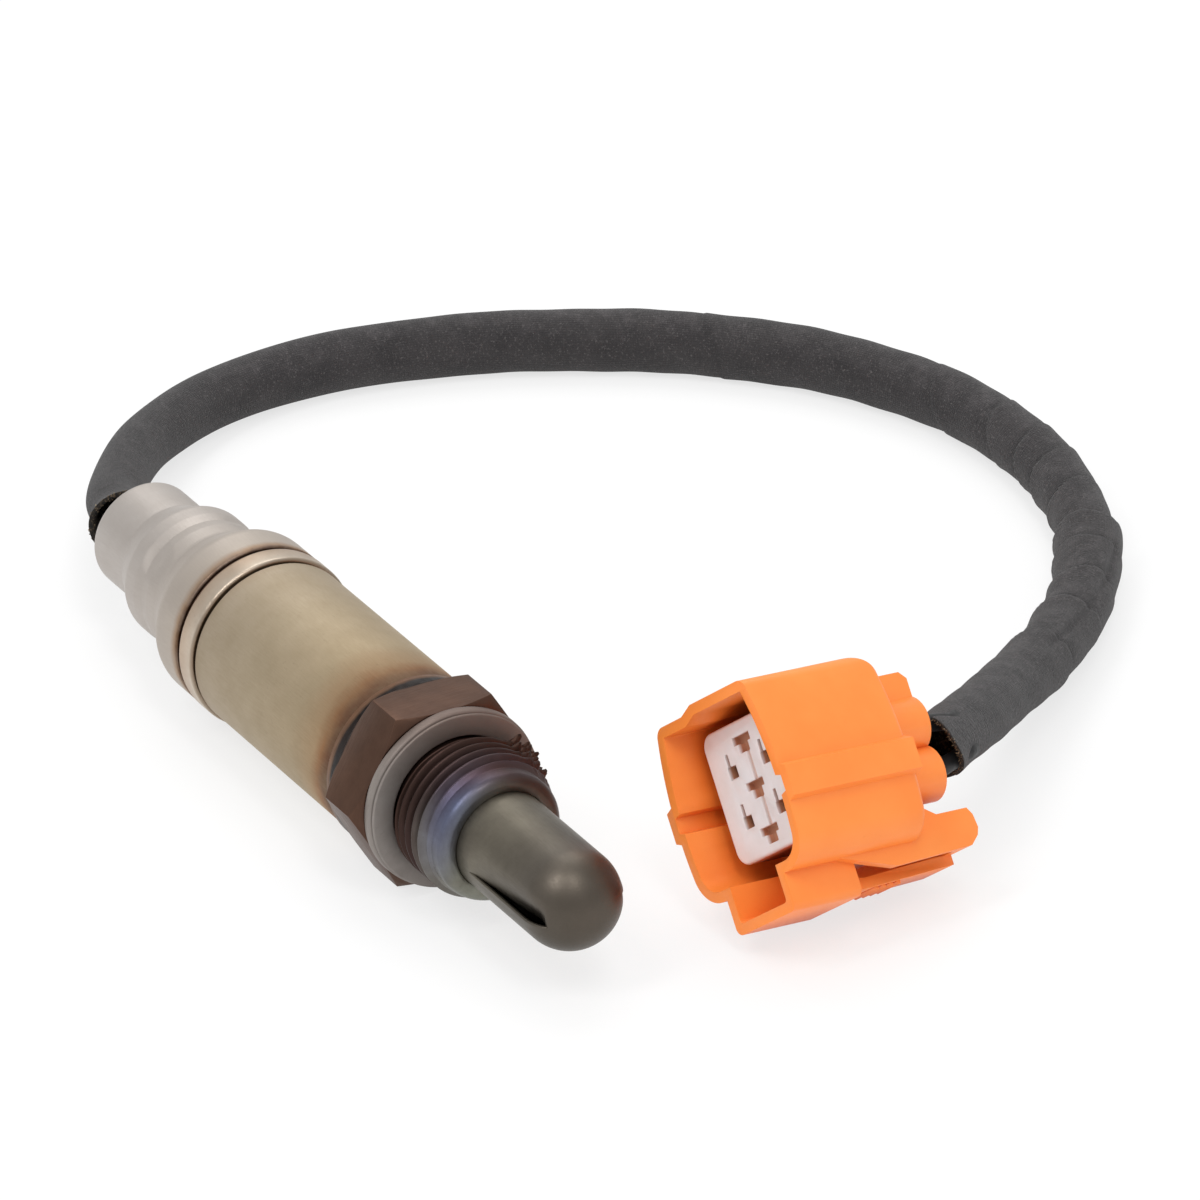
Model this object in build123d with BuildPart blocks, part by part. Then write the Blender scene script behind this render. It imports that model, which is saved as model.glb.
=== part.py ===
"""Heated zirconia oxygen sensor with a short sheathed lead and a four-way connector.

Units are millimetres. The origin is on the sensor's axis, at the start of its thread,
just in front of the gasket's sealing face. +X points along the axis, towards the tip that reaches into the exhaust pipe.
+Z is up: the sensor lies on its side on a surface, and so do its lead and connector.
"""

import os

from build123d import *

os.makedirs("parts", exist_ok=True)

# --------------------------------------------------------------------------------------
# Driving dimensions of the sensor
# --------------------------------------------------------------------------------------
fit_gap = 0.05  # radial clearance between pieces that are pushed together

# Gasket, thread and hexagon
gasket_thickness = 2.0
gasket_width = 2.0  # of the folded strip, along the radius
gasket_bore_gap = 0.3  # between the gasket's hole and the thread
gasket_sheet = 0.45
thread_radius = 9.0  # M18 x 1.5 major diameter is 18 mm
thread_length = 7.4
thread_runout = 1.1
undercut_depth = 0.9
seat_setback = 0.1  # from the thread's start back to the gasket's sealing face
pilot_length = 1.1
nose_length = 1.1
nose_lip = 0.8  # shell round the outer tube at the very front
flange_cover = 1.1  # shell round the trapped flanges
hex_across_flats = 22.0
hex_length = 7.3
hex_chamfer_drop = 1.55  # from the hexagon's corners to its turned end faces
hex_chamfer_run = 0.9
collar_length = 2.2
collar_step = 0.27  # the collar stands this far over the body sleeve

# Bores inside the shell
element_bore_gap = 0.8  # round the element in front of its seal
collar_bore_gap = 0.4  # round the element's collar
packing_step = 1.3  # the ceramic bush's bore is wider than the powder's by this
crimp_lip_height = 1.0
crimp_lip_length = 1.5
nose_wall = 1.5  # shell left in front of the element's bore

# Protection tubes over the element
tube_radius = 6.15
tube_wall = 0.45
tube_flange = 0.85
tube_reach = 21.45  # from the nose to the domed end
inner_tube_wall = 0.35
inner_tube_gap = 0.95  # between the two tubes
inner_tube_setback = 5.15  # between the two tubes' ends
inner_tube_hole_radius = 0.75
inner_tube_hole_count = 6
louvre_count = 2
louvre_offset = 2.9  # from the nose to the louvres
louvre_length = 16.2
louvre_flap_past_dome = 0.6  # how far the flap runs past the dome's start
louvre_width = 3.0
louvre_opening = 0.95

# Ceramic element, its seal and its packing
element_radius = 3.6
element_taper = 0.5  # the element widens by this to its seal
element_collar_step = 1.0
element_collar_length = 4.0
element_rear_radius = 4.9
element_bore = 2.2
element_tip_gap = 3.0  # from the element's tip to the inner tube's end
seal_thickness = 0.5
seal_station = 2.0  # front face of the seal, on the shell's shoulder
talc_length = 5.5
bush_length = 6.5
press_ring_thickness = 0.8
press_ring_dish = 0.4
element_tail = 2.2  # the element stands out behind the press ring
heater_radius = 1.5
heater_tip_gap = 1.2
heater_length = 62.0

# Sleeves, bead and cap
sleeve_radius = 10.68
sleeve_wall = 0.55
sleeve_length = 32.6
inner_sleeve_wall = 0.5
inner_sleeve_in_cap = 4.1
bead_gap = 0.4
bead_height = 0.97
bead_length = 3.1
membrane_groove = 0.6
membrane_thickness = 0.2
membrane_stand = 0.17
membrane_in_cap = 3.7
cap_wall = 0.6
cap_large_length = 5.1
cap_large_cone = 4.2
cap_middle_radius = 8.68
cap_middle_length = 7.9
cap_small_cone = 4.1
cap_small_radius = 6.92
cap_small_length = 7.8
cap_mouth_radius = 5.3
cap_bend = 1.3
crimp_offset = 4.2  # behind the front of the cap's middle step
crimp_depth = 0.22
crimp_width = 1.6

# Insulator, contacts, leads and grommet
holder_setback = 1.1  # behind the ceramic element
holder_length = 33.4
holder_gap = 0.68
holder_chamfer = 0.6
contact_count = 4
contact_pitch = 4.0
contact_width = 1.5
contact_thickness = 0.4
contact_inset = 2.4  # from the holder's front to the contacts' tips
contact_barrel_radius = 0.95
contact_barrel_gap = 0.6  # from the holder to the crimp barrels
contact_barrel_length = 5.0
contact_overlap = 0.5  # the strip runs this far into its barrel
holder_slot_gap = 0.15
lead_radius = 1.05
grommet_inset = 1.4  # behind the front of the cap's middle step
lead_reach = -80.0  # station where the leads enter the lead's sheath

# --------------------------------------------------------------------------------------
# Driving dimensions of the lead
# --------------------------------------------------------------------------------------
sheath_radius = 4.0
gasket_radius = thread_radius + gasket_bore_gap + gasket_width
rest_height = -gasket_radius  # the surface that everything lies on
lying = rest_height + sheath_radius

# The sheath's route, from behind the cap round to the back of the connector.
sheath_route = [
    (lead_reach, 0.0, 0.0),
    (-86.1, 0.4, -0.9),
    (-93.4, 4.6, -2.8),
    (-101.8, 10.6, -4.6),
    (-110.2, 18.4, -6.2),
    (-116.9, 29.0, lying),
    (-119.6, 42.5, lying),
    (-117.4, 58.5, lying),
    (-111.8, 73.5, lying),
    (-102.3, 89.5, lying),
    (-88.0, 103.5, lying),
    (-69.5, 111.7, lying),
    (-50.5, 112.4, lying),
    (-33.6, 107.8, lying),
    (-19.2, 98.8, lying),
    (-7.4, 87.0, -6.2),
    (2.6, 74.4, -3.6),
    (12.4, 62.9, -0.2),
    (20.2, 54.2, 2.6),
]

# --------------------------------------------------------------------------------------
# Driving dimensions of the connector, in its own frame: across, up and out of its mouth
# --------------------------------------------------------------------------------------
tower_end_centre = (21.239, 47.409, 3.331)  # the towers' ends face the sheath's end
mouth_out = (0.1199, -0.9836, 0.1351)
mouth_across = (0.7593, 0.1785, 0.6258)

shroud_width = 22.3  # where its bowed sides are widest
shroud_widest_up = -2.0
shroud_top_width = 18.3
shroud_bottom_width = 20.3
shroud_top = 11.05
shroud_bottom = -11.4
shroud_depth = 18.9
shroud_wall = 1.25
cavity_depth = 12.0
corner_radius = 1.5
lower_corner_radius = 4.2
step_position = -1.7
step_run = 2.2
step_drop = 0.85
band_top = 0.9
band_bottom = -3.95
band_skew = 0.45  # one side's band sits lower than the other's by twice this
band_stand = 0.95
band_slope = 0.6
band_groove = 0.95
band_groove_margin = 0.9
rear_rounding = 1.0
top_rounding = 3.8  # of the shroud's upper rear edge
box_width = 12.0
box_drop = 4.45
box_depth = 9.9
box_wall = 1.25
box_pocket_depth = 8.0
cavity_pitch_across = 6.8
cavity_pitch_up = 6.0
cavity_centre_up = -0.45
tower_radius = 3.35
tower_wall = 0.9
tower_length = 7.3
tower_chamfer = 0.5
ledge_width = 9.8  # over the upper towers, flush with their ends
ledge_top = 8.7
ledge_bevel = 0.9
guard_outer = 7.2
guard_thickness = 1.3
guard_start = 7.4
guard_full = 14.8  # the guard deepens down to here
guard_reach = 8.9  # behind the shroud
guard_root_rise = 5.6  # above the shroud's underside
guard_tail_rise = 2.6
guard_drop = 2.2  # below the shroud's underside
guard_tail_lift = 0.4  # from the guard's deepest line to its tail
guard_slope = 2.6
tab_depth = 3.2
arm_width = 6.4
arm_root_drop = 1.6  # below the shroud's underside
arm_box_gap = 0.9  # from the arm's underside to the latch box's
arm_end_drop = 0.8  # below the guards
arm_setback = 1.9  # from the guards' ends to the arm's
grip_rib_count = 4
grip_rib_start = 7.6  # from the arm's end
grip_rib_pitch = 1.1
grip_rib_height = 0.4

retainer_side_gap = 2.25
retainer_top_gap = 1.85
retainer_bottom_gap = 2.2
retainer_corner = 1.9
retainer_recess = 4.4
retainer_face = 1.6
entry_width = 1.7
entry_height = 1.45
entry_slot_width = 0.55
entry_slot_height = 1.5
entry_slot_shift = 0.4
window_width = 2.0
window_height = 1.1
window_bar_width = 3.4
window_bar_height = 0.95
window_bar_shift = 0.1
window_depth = 1.1
window_pitch = 5.5
window_groove = 0.6
window_groove_depth = 0.4
window_centre_up = -0.25

terminal_width = 2.0
terminal_height = 2.5
terminal_wall = 0.3
terminal_gap = 0.1
terminal_box_length = 8.0
terminal_box_floor = 1.5
terminal_barrel_radius = 0.9
terminal_barrel_length = 5.3
wire_seal_length = 4.2
wire_seal_inset = 1.0
wire_seal_ribs = 3
wire_seal_rib_height = 0.3
wire_clear = 0.8  # each wire runs straight this far out of its tower
wire_lead_in = 1.5

# --------------------------------------------------------------------------------------
# Stations that follow from the dimensions
# --------------------------------------------------------------------------------------
gasket_front = -seat_setback
hex_front = gasket_front - gasket_thickness
hex_rear = hex_front - hex_length
hex_corner_radius = hex_across_flats / 3**0.5
hex_chamfer_radius = hex_corner_radius - hex_chamfer_drop
collar_radius = sleeve_radius + collar_step
collar_rear = hex_rear - collar_length
undercut_radius = thread_radius - undercut_depth
tube_flange_radius = tube_radius + tube_flange
pilot_radius = tube_flange_radius + flange_cover
nose_radius = tube_radius + nose_lip
pilot_front = thread_length + thread_runout + pilot_length
nose_front = pilot_front + nose_length
element_bore_front = nose_front - nose_wall
tube_tip = nose_front + tube_reach
inner_tube_radius = tube_radius - tube_wall - inner_tube_gap
inner_tube_tip = tube_tip - inner_tube_setback
louvre_start = nose_front + louvre_offset
flange_back = element_bore_front
flange_front = flange_back + tube_wall + inner_tube_wall

element_tip = inner_tube_tip - element_tip_gap
element_root_radius = element_radius + element_taper
element_collar_radius = element_rear_radius + element_collar_step
element_bore_radius = element_root_radius + element_bore_gap
shoulder_bore_radius = element_collar_radius + collar_bore_gap
packing_bore_radius = shoulder_bore_radius + packing_step
crimp_lip_radius = packing_bore_radius - crimp_lip_height
seal_rear = seal_station - seal_thickness
element_collar_rear = seal_rear - element_collar_length
talc_rear = element_collar_rear - talc_length
bush_rear = talc_rear - bush_length
press_ring_rear = bush_rear - press_ring_thickness
lip_front = press_ring_rear - press_ring_dish
neck_rear = lip_front - crimp_lip_length
element_rear = press_ring_rear - element_tail
element_bore_tip = element_tip - (element_radius - element_bore)
heater_tip = element_bore_tip - heater_tip_gap
heater_rear = heater_tip - heater_length

sleeve_rear = collar_rear - sleeve_length
inner_sleeve_radius = sleeve_radius - sleeve_wall - fit_gap
neck_radius = inner_sleeve_radius - inner_sleeve_wall - fit_gap
bead_front = sleeve_rear - bead_gap
bead_radius = inner_sleeve_radius + bead_height
bead_rear = bead_front - bead_length
cap_front = bead_rear - membrane_groove
under_cap = inner_sleeve_radius + fit_gap + membrane_thickness
membrane_radius = under_cap + membrane_stand
membrane_rear = cap_front - membrane_in_cap
inner_sleeve_rear = cap_front - inner_sleeve_in_cap
cap_large_radius = under_cap + fit_gap + cap_wall
cap_large_rear = cap_front - cap_large_length
cap_middle_front = cap_large_rear - cap_large_cone
cap_middle_rear = cap_middle_front - cap_middle_length
cap_small_front = cap_middle_rear - cap_small_cone
cap_rear = cap_small_front - cap_small_length
crimp_station = cap_middle_front - crimp_offset

holder_front = element_rear - holder_setback
holder_rear = holder_front - holder_length
holder_radius = inner_sleeve_radius - inner_sleeve_wall - holder_gap
contact_front = holder_front - contact_inset
contact_barrel_front = holder_rear - contact_barrel_gap
contact_barrel_rear = contact_barrel_front - contact_barrel_length
grommet_front = cap_middle_front - grommet_inset
grommet_radius = cap_small_radius - cap_wall - fit_gap
grommet_rear = cap_rear + cap_wall

tower_end = shroud_depth + tower_length
seal_bore = tower_radius - tower_wall
guard_end = shroud_depth + guard_reach
guard_bottom = shroud_bottom - guard_drop
guard_tail_bottom = guard_bottom + guard_tail_lift
guard_root_top = shroud_bottom + guard_root_rise
guard_tail_top = shroud_bottom + guard_tail_rise
box_bottom = shroud_bottom - box_drop
arm_root_top = shroud_bottom - arm_root_drop
arm_root_bottom = box_bottom + arm_box_gap
arm_end_bottom = guard_bottom - arm_end_drop
retainer_width = shroud_width - 2 * (shroud_wall + retainer_side_gap)
retainer_top = shroud_top - shroud_wall - retainer_top_gap
retainer_bottom = shroud_bottom + shroud_wall + retainer_bottom_gap
retainer_height = retainer_top - retainer_bottom
retainer_centre_up = (retainer_top + retainer_bottom) / 2
retainer_back = cavity_depth
terminal_front = retainer_recess + retainer_face + terminal_gap
terminal_box_back = terminal_front + terminal_box_length
terminal_barrel_end = terminal_box_back + terminal_barrel_length
wire_seal_back = tower_end - wire_seal_inset
wire_seal_front = wire_seal_back - wire_seal_length
wire_run_out = tower_end + wire_clear

tower_ends = Plane(origin=tower_end_centre, x_dir=mouth_across, z_dir=mouth_out)
mouth = tower_ends.offset(tower_end)
plug_side = Plane(origin=mouth.origin, x_dir=mouth.z_dir, z_dir=-mouth.x_dir)
plug_axis = Axis(mouth.origin, mouth.z_dir)

contact_spots = [
    (across * contact_pitch / 2, up * contact_pitch / 2)
    for across in (-1, 1)
    for up in (-1, 1)
]
cavity_spots = [
    (across * cavity_pitch_across / 2, cavity_centre_up + up * cavity_pitch_up / 2)
    for across in (-1, 1)
    for up in (-1, 1)
]


def keep(piece, name):
    """Label a finished piece and write it to its own STEP file."""
    piece.part.label = name
    export_step(piece.part, f"parts/{name}.step")


def turned(points):
    """A piece turned about the sensor's axis from its (station, radius) outline."""
    with BuildPart() as piece:
        with BuildSketch(Plane.XY):
            with BuildLine():
                Polyline(*points, close=True)
            make_face()
        revolve(axis=Axis.X)
    return piece


def across_axis(station):
    """The plane across the sensor's axis at a station, facing the tip, with +Z up."""
    return Plane(origin=(station, 0, 0), x_dir=(0, 1, 0), z_dir=(1, 0, 0))


# --------------------------------------------------------------------------------------
# Shell: hexagon, thread, pilot and the neck that carries the sleeves
# --------------------------------------------------------------------------------------
def make_shell():
    with BuildPart() as shell:
        with BuildSketch(across_axis(hex_rear)):
            RegularPolygon(hex_across_flats / 2, 6, major_radius=False)
        extrude(amount=hex_length)
        with BuildSketch(Plane.XY):  # turned chamfers at both ends of the hexagon
            with BuildLine():
                Polyline(
                    (hex_rear, 0),
                    (hex_rear, hex_chamfer_radius),
                    (hex_rear + hex_chamfer_run, hex_corner_radius),
                    (hex_front - hex_chamfer_run, hex_corner_radius),
                    (hex_front, hex_chamfer_radius),
                    (hex_front, 0),
                    close=True,
                )
            make_face()
        revolve(axis=Axis.X, mode=Mode.INTERSECT)
        with BuildSketch(Plane.XY):
            with BuildLine():
                Polyline(
                    (neck_rear, 0),
                    (neck_rear, neck_radius - 0.4),
                    (neck_rear + 0.4, neck_radius),
                    (collar_rear, neck_radius),
                    (collar_rear, collar_radius - 0.2),
                    (collar_rear + 0.2, collar_radius),
                    (hex_rear, collar_radius),
                    (hex_rear + 0.5, 0),
                    close=True,
                )
            make_face()
        revolve(axis=Axis.X)
        with BuildSketch(Plane.XY):
            with BuildLine():
                Polyline(
                    (hex_front - 0.5, 0),
                    (hex_front - 0.5, undercut_radius),
                    (-seat_setback, undercut_radius),
                    (0, thread_radius),
                    (thread_length, thread_radius),
                    (thread_length + thread_runout, pilot_radius),
                    (pilot_front, pilot_radius),
                )
                RadiusArc(
                    (pilot_front, pilot_radius),
                    (nose_front, nose_radius),
                    nose_length * 1.25,
                )
                Polyline(
                    (nose_front, nose_radius),
                    (nose_front, 0),
                    (hex_front - 0.5, 0),
                )
            make_face()
        revolve(axis=Axis.X)
        with BuildSketch(Plane.XY):  # stepped bore, with the tube's flange trapped
            with BuildLine():
                Polyline(
                    (neck_rear, 0),
                    (neck_rear, crimp_lip_radius),
                    (lip_front, crimp_lip_radius),
                    (lip_front, packing_bore_radius),
                    (talc_rear, packing_bore_radius),
                    (talc_rear, shoulder_bore_radius),
                    (seal_station, shoulder_bore_radius),
                    (seal_station, element_bore_radius),
                    (flange_back, element_bore_radius),
                    (flange_back, tube_flange_radius + fit_gap),
                    (flange_front, tube_flange_radius + fit_gap),
                    (flange_front, tube_radius + fit_gap),
                    (nose_front, tube_radius + fit_gap),
                    (nose_front, 0),
                    close=True,
                )
            make_face()
        revolve(axis=Axis.X, mode=Mode.SUBTRACT)
    return shell


# --------------------------------------------------------------------------------------
# Gasket: one steel strip folded back on itself three times
# --------------------------------------------------------------------------------------
def make_gasket():
    bore = thread_radius + gasket_bore_gap
    inner = bore + gasket_sheet / 2
    outer = gasket_radius - gasket_sheet / 2
    back = hex_front + gasket_sheet / 2
    front = gasket_front - gasket_sheet / 2
    middle = (back + front) / 2
    fold = (front - middle) / 2
    bend = min(fold, outer - inner) * 0.7
    with BuildPart() as gasket:
        with BuildSketch(Plane.XY):
            with BuildLine():
                FilletPolyline(
                    (back, inner),
                    (back, outer),
                    (middle, outer),
                    (middle, inner),
                    (front, inner),
                    (front, outer - fold),
                    radius=bend,
                )
                offset(amount=gasket_sheet / 2)
            make_face()
        revolve(axis=Axis.X)
    return gasket


# --------------------------------------------------------------------------------------
# Protection tubes: two drawn caps with flanges held in the shell's nose
# --------------------------------------------------------------------------------------
def domed_tube(radius, wall, tip, flange_station):
    """A drawn tube with a round end, and a flange that stands on flange_station."""
    with BuildPart() as tube:
        with BuildSketch(Plane.XY):
            with BuildLine():
                Polyline(
                    (flange_station + wall, tube_flange_radius),
                    (flange_station, tube_flange_radius),
                    (flange_station, radius - wall),
                    (tip - radius, radius - wall),
                )
                RadiusArc((tip - radius, radius - wall), (tip - wall, 0), radius - wall)
                Line((tip - wall, 0), (tip, 0))
                RadiusArc((tip, 0), (tip - radius, radius), -radius)
                Polyline(
                    (tip - radius, radius),
                    (flange_station + wall, radius),
                    (flange_station + wall, tube_flange_radius),
                )
            make_face()
        revolve(axis=Axis.X)
    return tube


def make_outer_tube():
    """The outer tube, with long louvres: slots whose one edge is pressed inwards."""
    plain = domed_tube(tube_radius, tube_wall, tube_tip, flange_back + inner_tube_wall)
    louvre_middle = louvre_start + louvre_length / 2
    flap_start = louvre_start + louvre_width / 4
    flap_length = tube_tip - tube_radius + louvre_flap_past_dome - flap_start
    flap_drop = tube_wall + 0.25
    with BuildPart() as tube:
        add(plain.part)
        for count in range(louvre_count):
            turn = 180 + 360 * count / louvre_count
            outward = Vector(0, 1, 0).rotate(Axis.X, turn)
            tangent = outward.rotate(Axis.X, 90)
            seat = Plane(
                origin=outward * (tube_radius / 2),
                x_dir=(1, 0, 0),
                z_dir=outward,
            )
            with BuildSketch(seat):
                with Locations((louvre_middle, 0)):
                    SlotOverall(louvre_length, louvre_width)
            extrude(amount=tube_radius, mode=Mode.SUBTRACT)
            # The flap hangs on the slot's upper edge and dips under its lower edge.
            edge_height = (tube_radius**2 - (louvre_width / 2) ** 2) ** 0.5
            profile = Plane(
                origin=(flap_start, 0, 0),
                x_dir=tangent,
                z_dir=(1, 0, 0),
            )
            side = 1 if profile.y_dir.dot(outward) > 0 else -1
            upper = -louvre_width / 2 - 0.1
            lower = louvre_width / 2 - louvre_opening
            with BuildSketch(profile):
                with BuildLine():
                    Polyline(
                        (upper, side * (edge_height - 0.05)),
                        (lower, side * (edge_height - flap_drop)),
                        (lower, side * (edge_height - flap_drop - tube_wall)),
                        (upper, side * (edge_height - 0.05 - tube_wall)),
                        close=True,
                    )
                make_face()
            extrude(amount=flap_length)
    return tube


def make_inner_tube():
    """The inner tube, with a ring of gas holes that the louvres don't face."""
    plain = domed_tube(inner_tube_radius, inner_tube_wall, inner_tube_tip, flange_back)
    with BuildPart() as tube:
        add(plain.part)
        for count in range(inner_tube_hole_count):
            turn = 360 * (count + 0.5) / inner_tube_hole_count
            outward = Vector(0, 1, 0).rotate(Axis.X, turn)
            spot = Plane(origin=(louvre_start, 0, 0), x_dir=(1, 0, 0), z_dir=outward)
            with BuildSketch(spot):
                Circle(inner_tube_hole_radius)
            extrude(amount=inner_tube_radius + 1, mode=Mode.SUBTRACT)
    return tube


# --------------------------------------------------------------------------------------
# Ceramic element with its heater, seal and packing
# --------------------------------------------------------------------------------------
def make_element():
    """Closed-end zirconia thimble with a thick collar."""
    with BuildPart() as element:
        with BuildSketch(Plane.XY):
            with BuildLine():
                Polyline(
                    (element_rear, element_bore),
                    (element_rear, element_rear_radius),
                    (element_collar_rear, element_rear_radius),
                    (element_collar_rear, element_collar_radius),
                    (seal_rear, element_collar_radius),
                    (seal_rear, element_root_radius),
                    (element_tip - element_radius, element_radius),
                )
                RadiusArc(
                    (element_tip - element_radius, element_radius),
                    (element_tip, 0),
                    element_radius,
                )
                Line((element_tip, 0), (element_bore_tip, 0))
                RadiusArc(
                    (element_bore_tip, 0),
                    (element_bore_tip - element_bore, element_bore),
                    -element_bore,
                )
                Line(
                    (element_bore_tip - element_bore, element_bore),
                    (element_rear, element_bore),
                )
            make_face()
        revolve(axis=Axis.X)
    return element


def ring(front, rear, outer, inner):
    """A plain ring about the sensor's axis."""
    return turned([(rear, inner), (rear, outer), (front, outer), (front, inner)])


def make_press_ring():
    """Dished spring ring that keeps the packing pressed under the shell's lip."""
    outer = packing_bore_radius - fit_gap
    inner = element_rear_radius + 0.3
    return turned(
        [
            (bush_rear - press_ring_dish, inner),
            (bush_rear, outer),
            (press_ring_rear, outer),
            (press_ring_rear - press_ring_dish, inner),
        ]
    )


# --------------------------------------------------------------------------------------
# Sleeves, bead, vent membrane and cap
# --------------------------------------------------------------------------------------
def make_body_sleeve():
    inner = sleeve_radius - sleeve_wall
    with BuildPart() as sleeve:
        with BuildSketch(Plane.XY):
            with BuildLine():
                Polyline(
                    (collar_rear, inner),
                    (collar_rear, sleeve_radius),
                    (sleeve_rear, sleeve_radius),
                    (sleeve_rear, inner),
                    close=True,
                )
            make_face()
        revolve(axis=Axis.X)
        outer_edges = sleeve.edges().filter_by(GeomType.CIRCLE).group_by(SortBy.RADIUS)[-1]
        fillet(outer_edges, sleeve_wall * 0.4)
    return sleeve


def make_bead():
    """Rolled ring behind the sleeve, round-shouldered at both ends."""
    with BuildPart() as bead:
        with BuildSketch(Plane.XY):
            with BuildLine():
                Polyline(
                    (bead_rear, inner_sleeve_radius + fit_gap),
                    (bead_rear, bead_radius),
                    (bead_front, bead_radius),
                    (bead_front, inner_sleeve_radius + fit_gap),
                    close=True,
                )
            make_face()
        revolve(axis=Axis.X)
        outer_edges = bead.edges().filter_by(GeomType.CIRCLE).group_by(SortBy.RADIUS)[-1]
        fillet(outer_edges, (bead_radius - inner_sleeve_radius) * 0.45)
    return bead


def make_cap():
    """Drawn cap in three steps, crimped on to the grommet and rolled in at its end."""
    half = cap_wall / 2
    path = [
        (cap_front - half, cap_large_radius - half),
        (cap_large_rear, cap_large_radius - half),
        (cap_middle_front, cap_middle_radius - half),
        (crimp_station + crimp_width, cap_middle_radius - half),
        (crimp_station, cap_middle_radius - half - crimp_depth),
        (crimp_station - crimp_width, cap_middle_radius - half),
        (cap_middle_rear, cap_middle_radius - half),
        (cap_small_front, cap_small_radius - half),
        (cap_rear + half, cap_small_radius - half),
        (cap_rear + half, cap_mouth_radius + half),
    ]
    bends = [cap_bend * 1.9, cap_bend * 1.9, 0.8, 0.8, 0.8, cap_bend, cap_bend, cap_wall]
    with BuildPart() as cap:
        with BuildSketch(Plane.XY):
            with BuildLine():
                FilletPolyline(*path, radius=bends)
                offset(amount=half, kind=Kind.INTERSECTION)
            make_face()
        revolve(axis=Axis.X)
    return cap


def make_membrane():
    """Vent membrane, seen as a dark line between the bead and the cap."""
    return turned(
        [
            (membrane_rear, inner_sleeve_radius + fit_gap),
            (membrane_rear, under_cap),
            (cap_front - fit_gap, under_cap),
            (cap_front + fit_gap, membrane_radius),
            (bead_rear, membrane_radius),
            (bead_rear, inner_sleeve_radius + fit_gap),
        ]
    )


# --------------------------------------------------------------------------------------
# Insulator, contacts, leads and grommet
# --------------------------------------------------------------------------------------
def make_holder():
    """Ceramic insulator with a hole for the heater and one channel for each contact."""
    with BuildPart() as holder:
        with BuildSketch(across_axis(holder_rear)):
            Circle(holder_radius)
            Circle(heater_radius + fit_gap, mode=Mode.SUBTRACT)
            with Locations(*contact_spots):
                Rectangle(
                    contact_width + 2 * holder_slot_gap,
                    contact_thickness + 2 * holder_slot_gap,
                    mode=Mode.SUBTRACT,
                )
        extrude(amount=holder_length)
        rim = holder.edges().filter_by(GeomType.CIRCLE).group_by(SortBy.RADIUS)[-1]
        chamfer(rim, holder_chamfer)
    return holder


def make_contact(spot):
    """Flat contact strip with a round crimp barrel for its lead."""
    strip_rear = contact_barrel_front - contact_overlap
    with BuildPart() as contact:
        with BuildSketch(across_axis(strip_rear)):
            with Locations(spot):
                Rectangle(contact_width, contact_thickness)
        extrude(amount=contact_front - strip_rear)
        with BuildSketch(across_axis(contact_barrel_rear)):
            with Locations(spot):
                Circle(contact_barrel_radius)
        extrude(amount=contact_barrel_length)
    return contact


def make_lead(spot, end):
    """Insulated wire from a contact's barrel, through the grommet, to the sheath's end."""
    with BuildPart() as lead:
        with BuildSketch(across_axis(lead_reach - sheath_radius)):
            with Locations(spot):
                Circle(lead_radius)
        extrude(amount=contact_barrel_rear - lead_reach + sheath_radius)
        split(bisect_by=end, keep=Keep.BOTTOM)
    return lead


def make_grommet():
    """Rubber plug under the cap's small end, with one hole for each lead."""
    with BuildPart() as grommet:
        shoulder = cap_middle_rear + cap_bend
        with BuildSketch(across_axis(shoulder)):
            Circle(cap_middle_radius - cap_wall - crimp_depth - fit_gap)
        extrude(amount=grommet_front - shoulder)
        with BuildSketch(across_axis(grommet_rear)):
            Circle(grommet_radius)
        extrude(amount=shoulder - grommet_rear)
        chamfer(grommet.faces().sort_by(Axis.X)[0].edges(), cap_bend * 0.6)
        with BuildSketch(across_axis(grommet_rear)):
            with Locations(*contact_spots):
                Circle(lead_radius + fit_gap / 2)
        extrude(amount=grommet_front - grommet_rear, mode=Mode.SUBTRACT)
    return grommet


# --------------------------------------------------------------------------------------
# Lead: woven sheath on straight runs joined by tangent arcs
# --------------------------------------------------------------------------------------
def bend_radii(points):
    """The largest even bend at each inner point: 0.45 of the shorter run beside it."""
    places = [Vector(*point) for point in points]
    radii = []
    for before, here, after in zip(places, places[1:], places[2:]):
        arriving = here - before
        leaving = after - here
        turn = arriving.get_angle(leaving)
        shorter = min(arriving.length, leaving.length)
        tangent = Vector(1, 0).rotate(Axis.Z, turn / 2)
        radii.append(0.45 * shorter * tangent.X / tangent.Y)
    return radii


def swept(points, radius, radii):
    """A round cord along points, with an arc of the given radius at each corner."""
    with BuildPart() as cord:
        with BuildLine() as path:
            FilletPolyline(*points, radius=radii)
        with BuildSketch(Plane(origin=path.line @ 0, z_dir=path.line % 0)):
            Circle(radius)
        sweep(path=path.line)
    return cord, path.wires()[0].length


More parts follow.
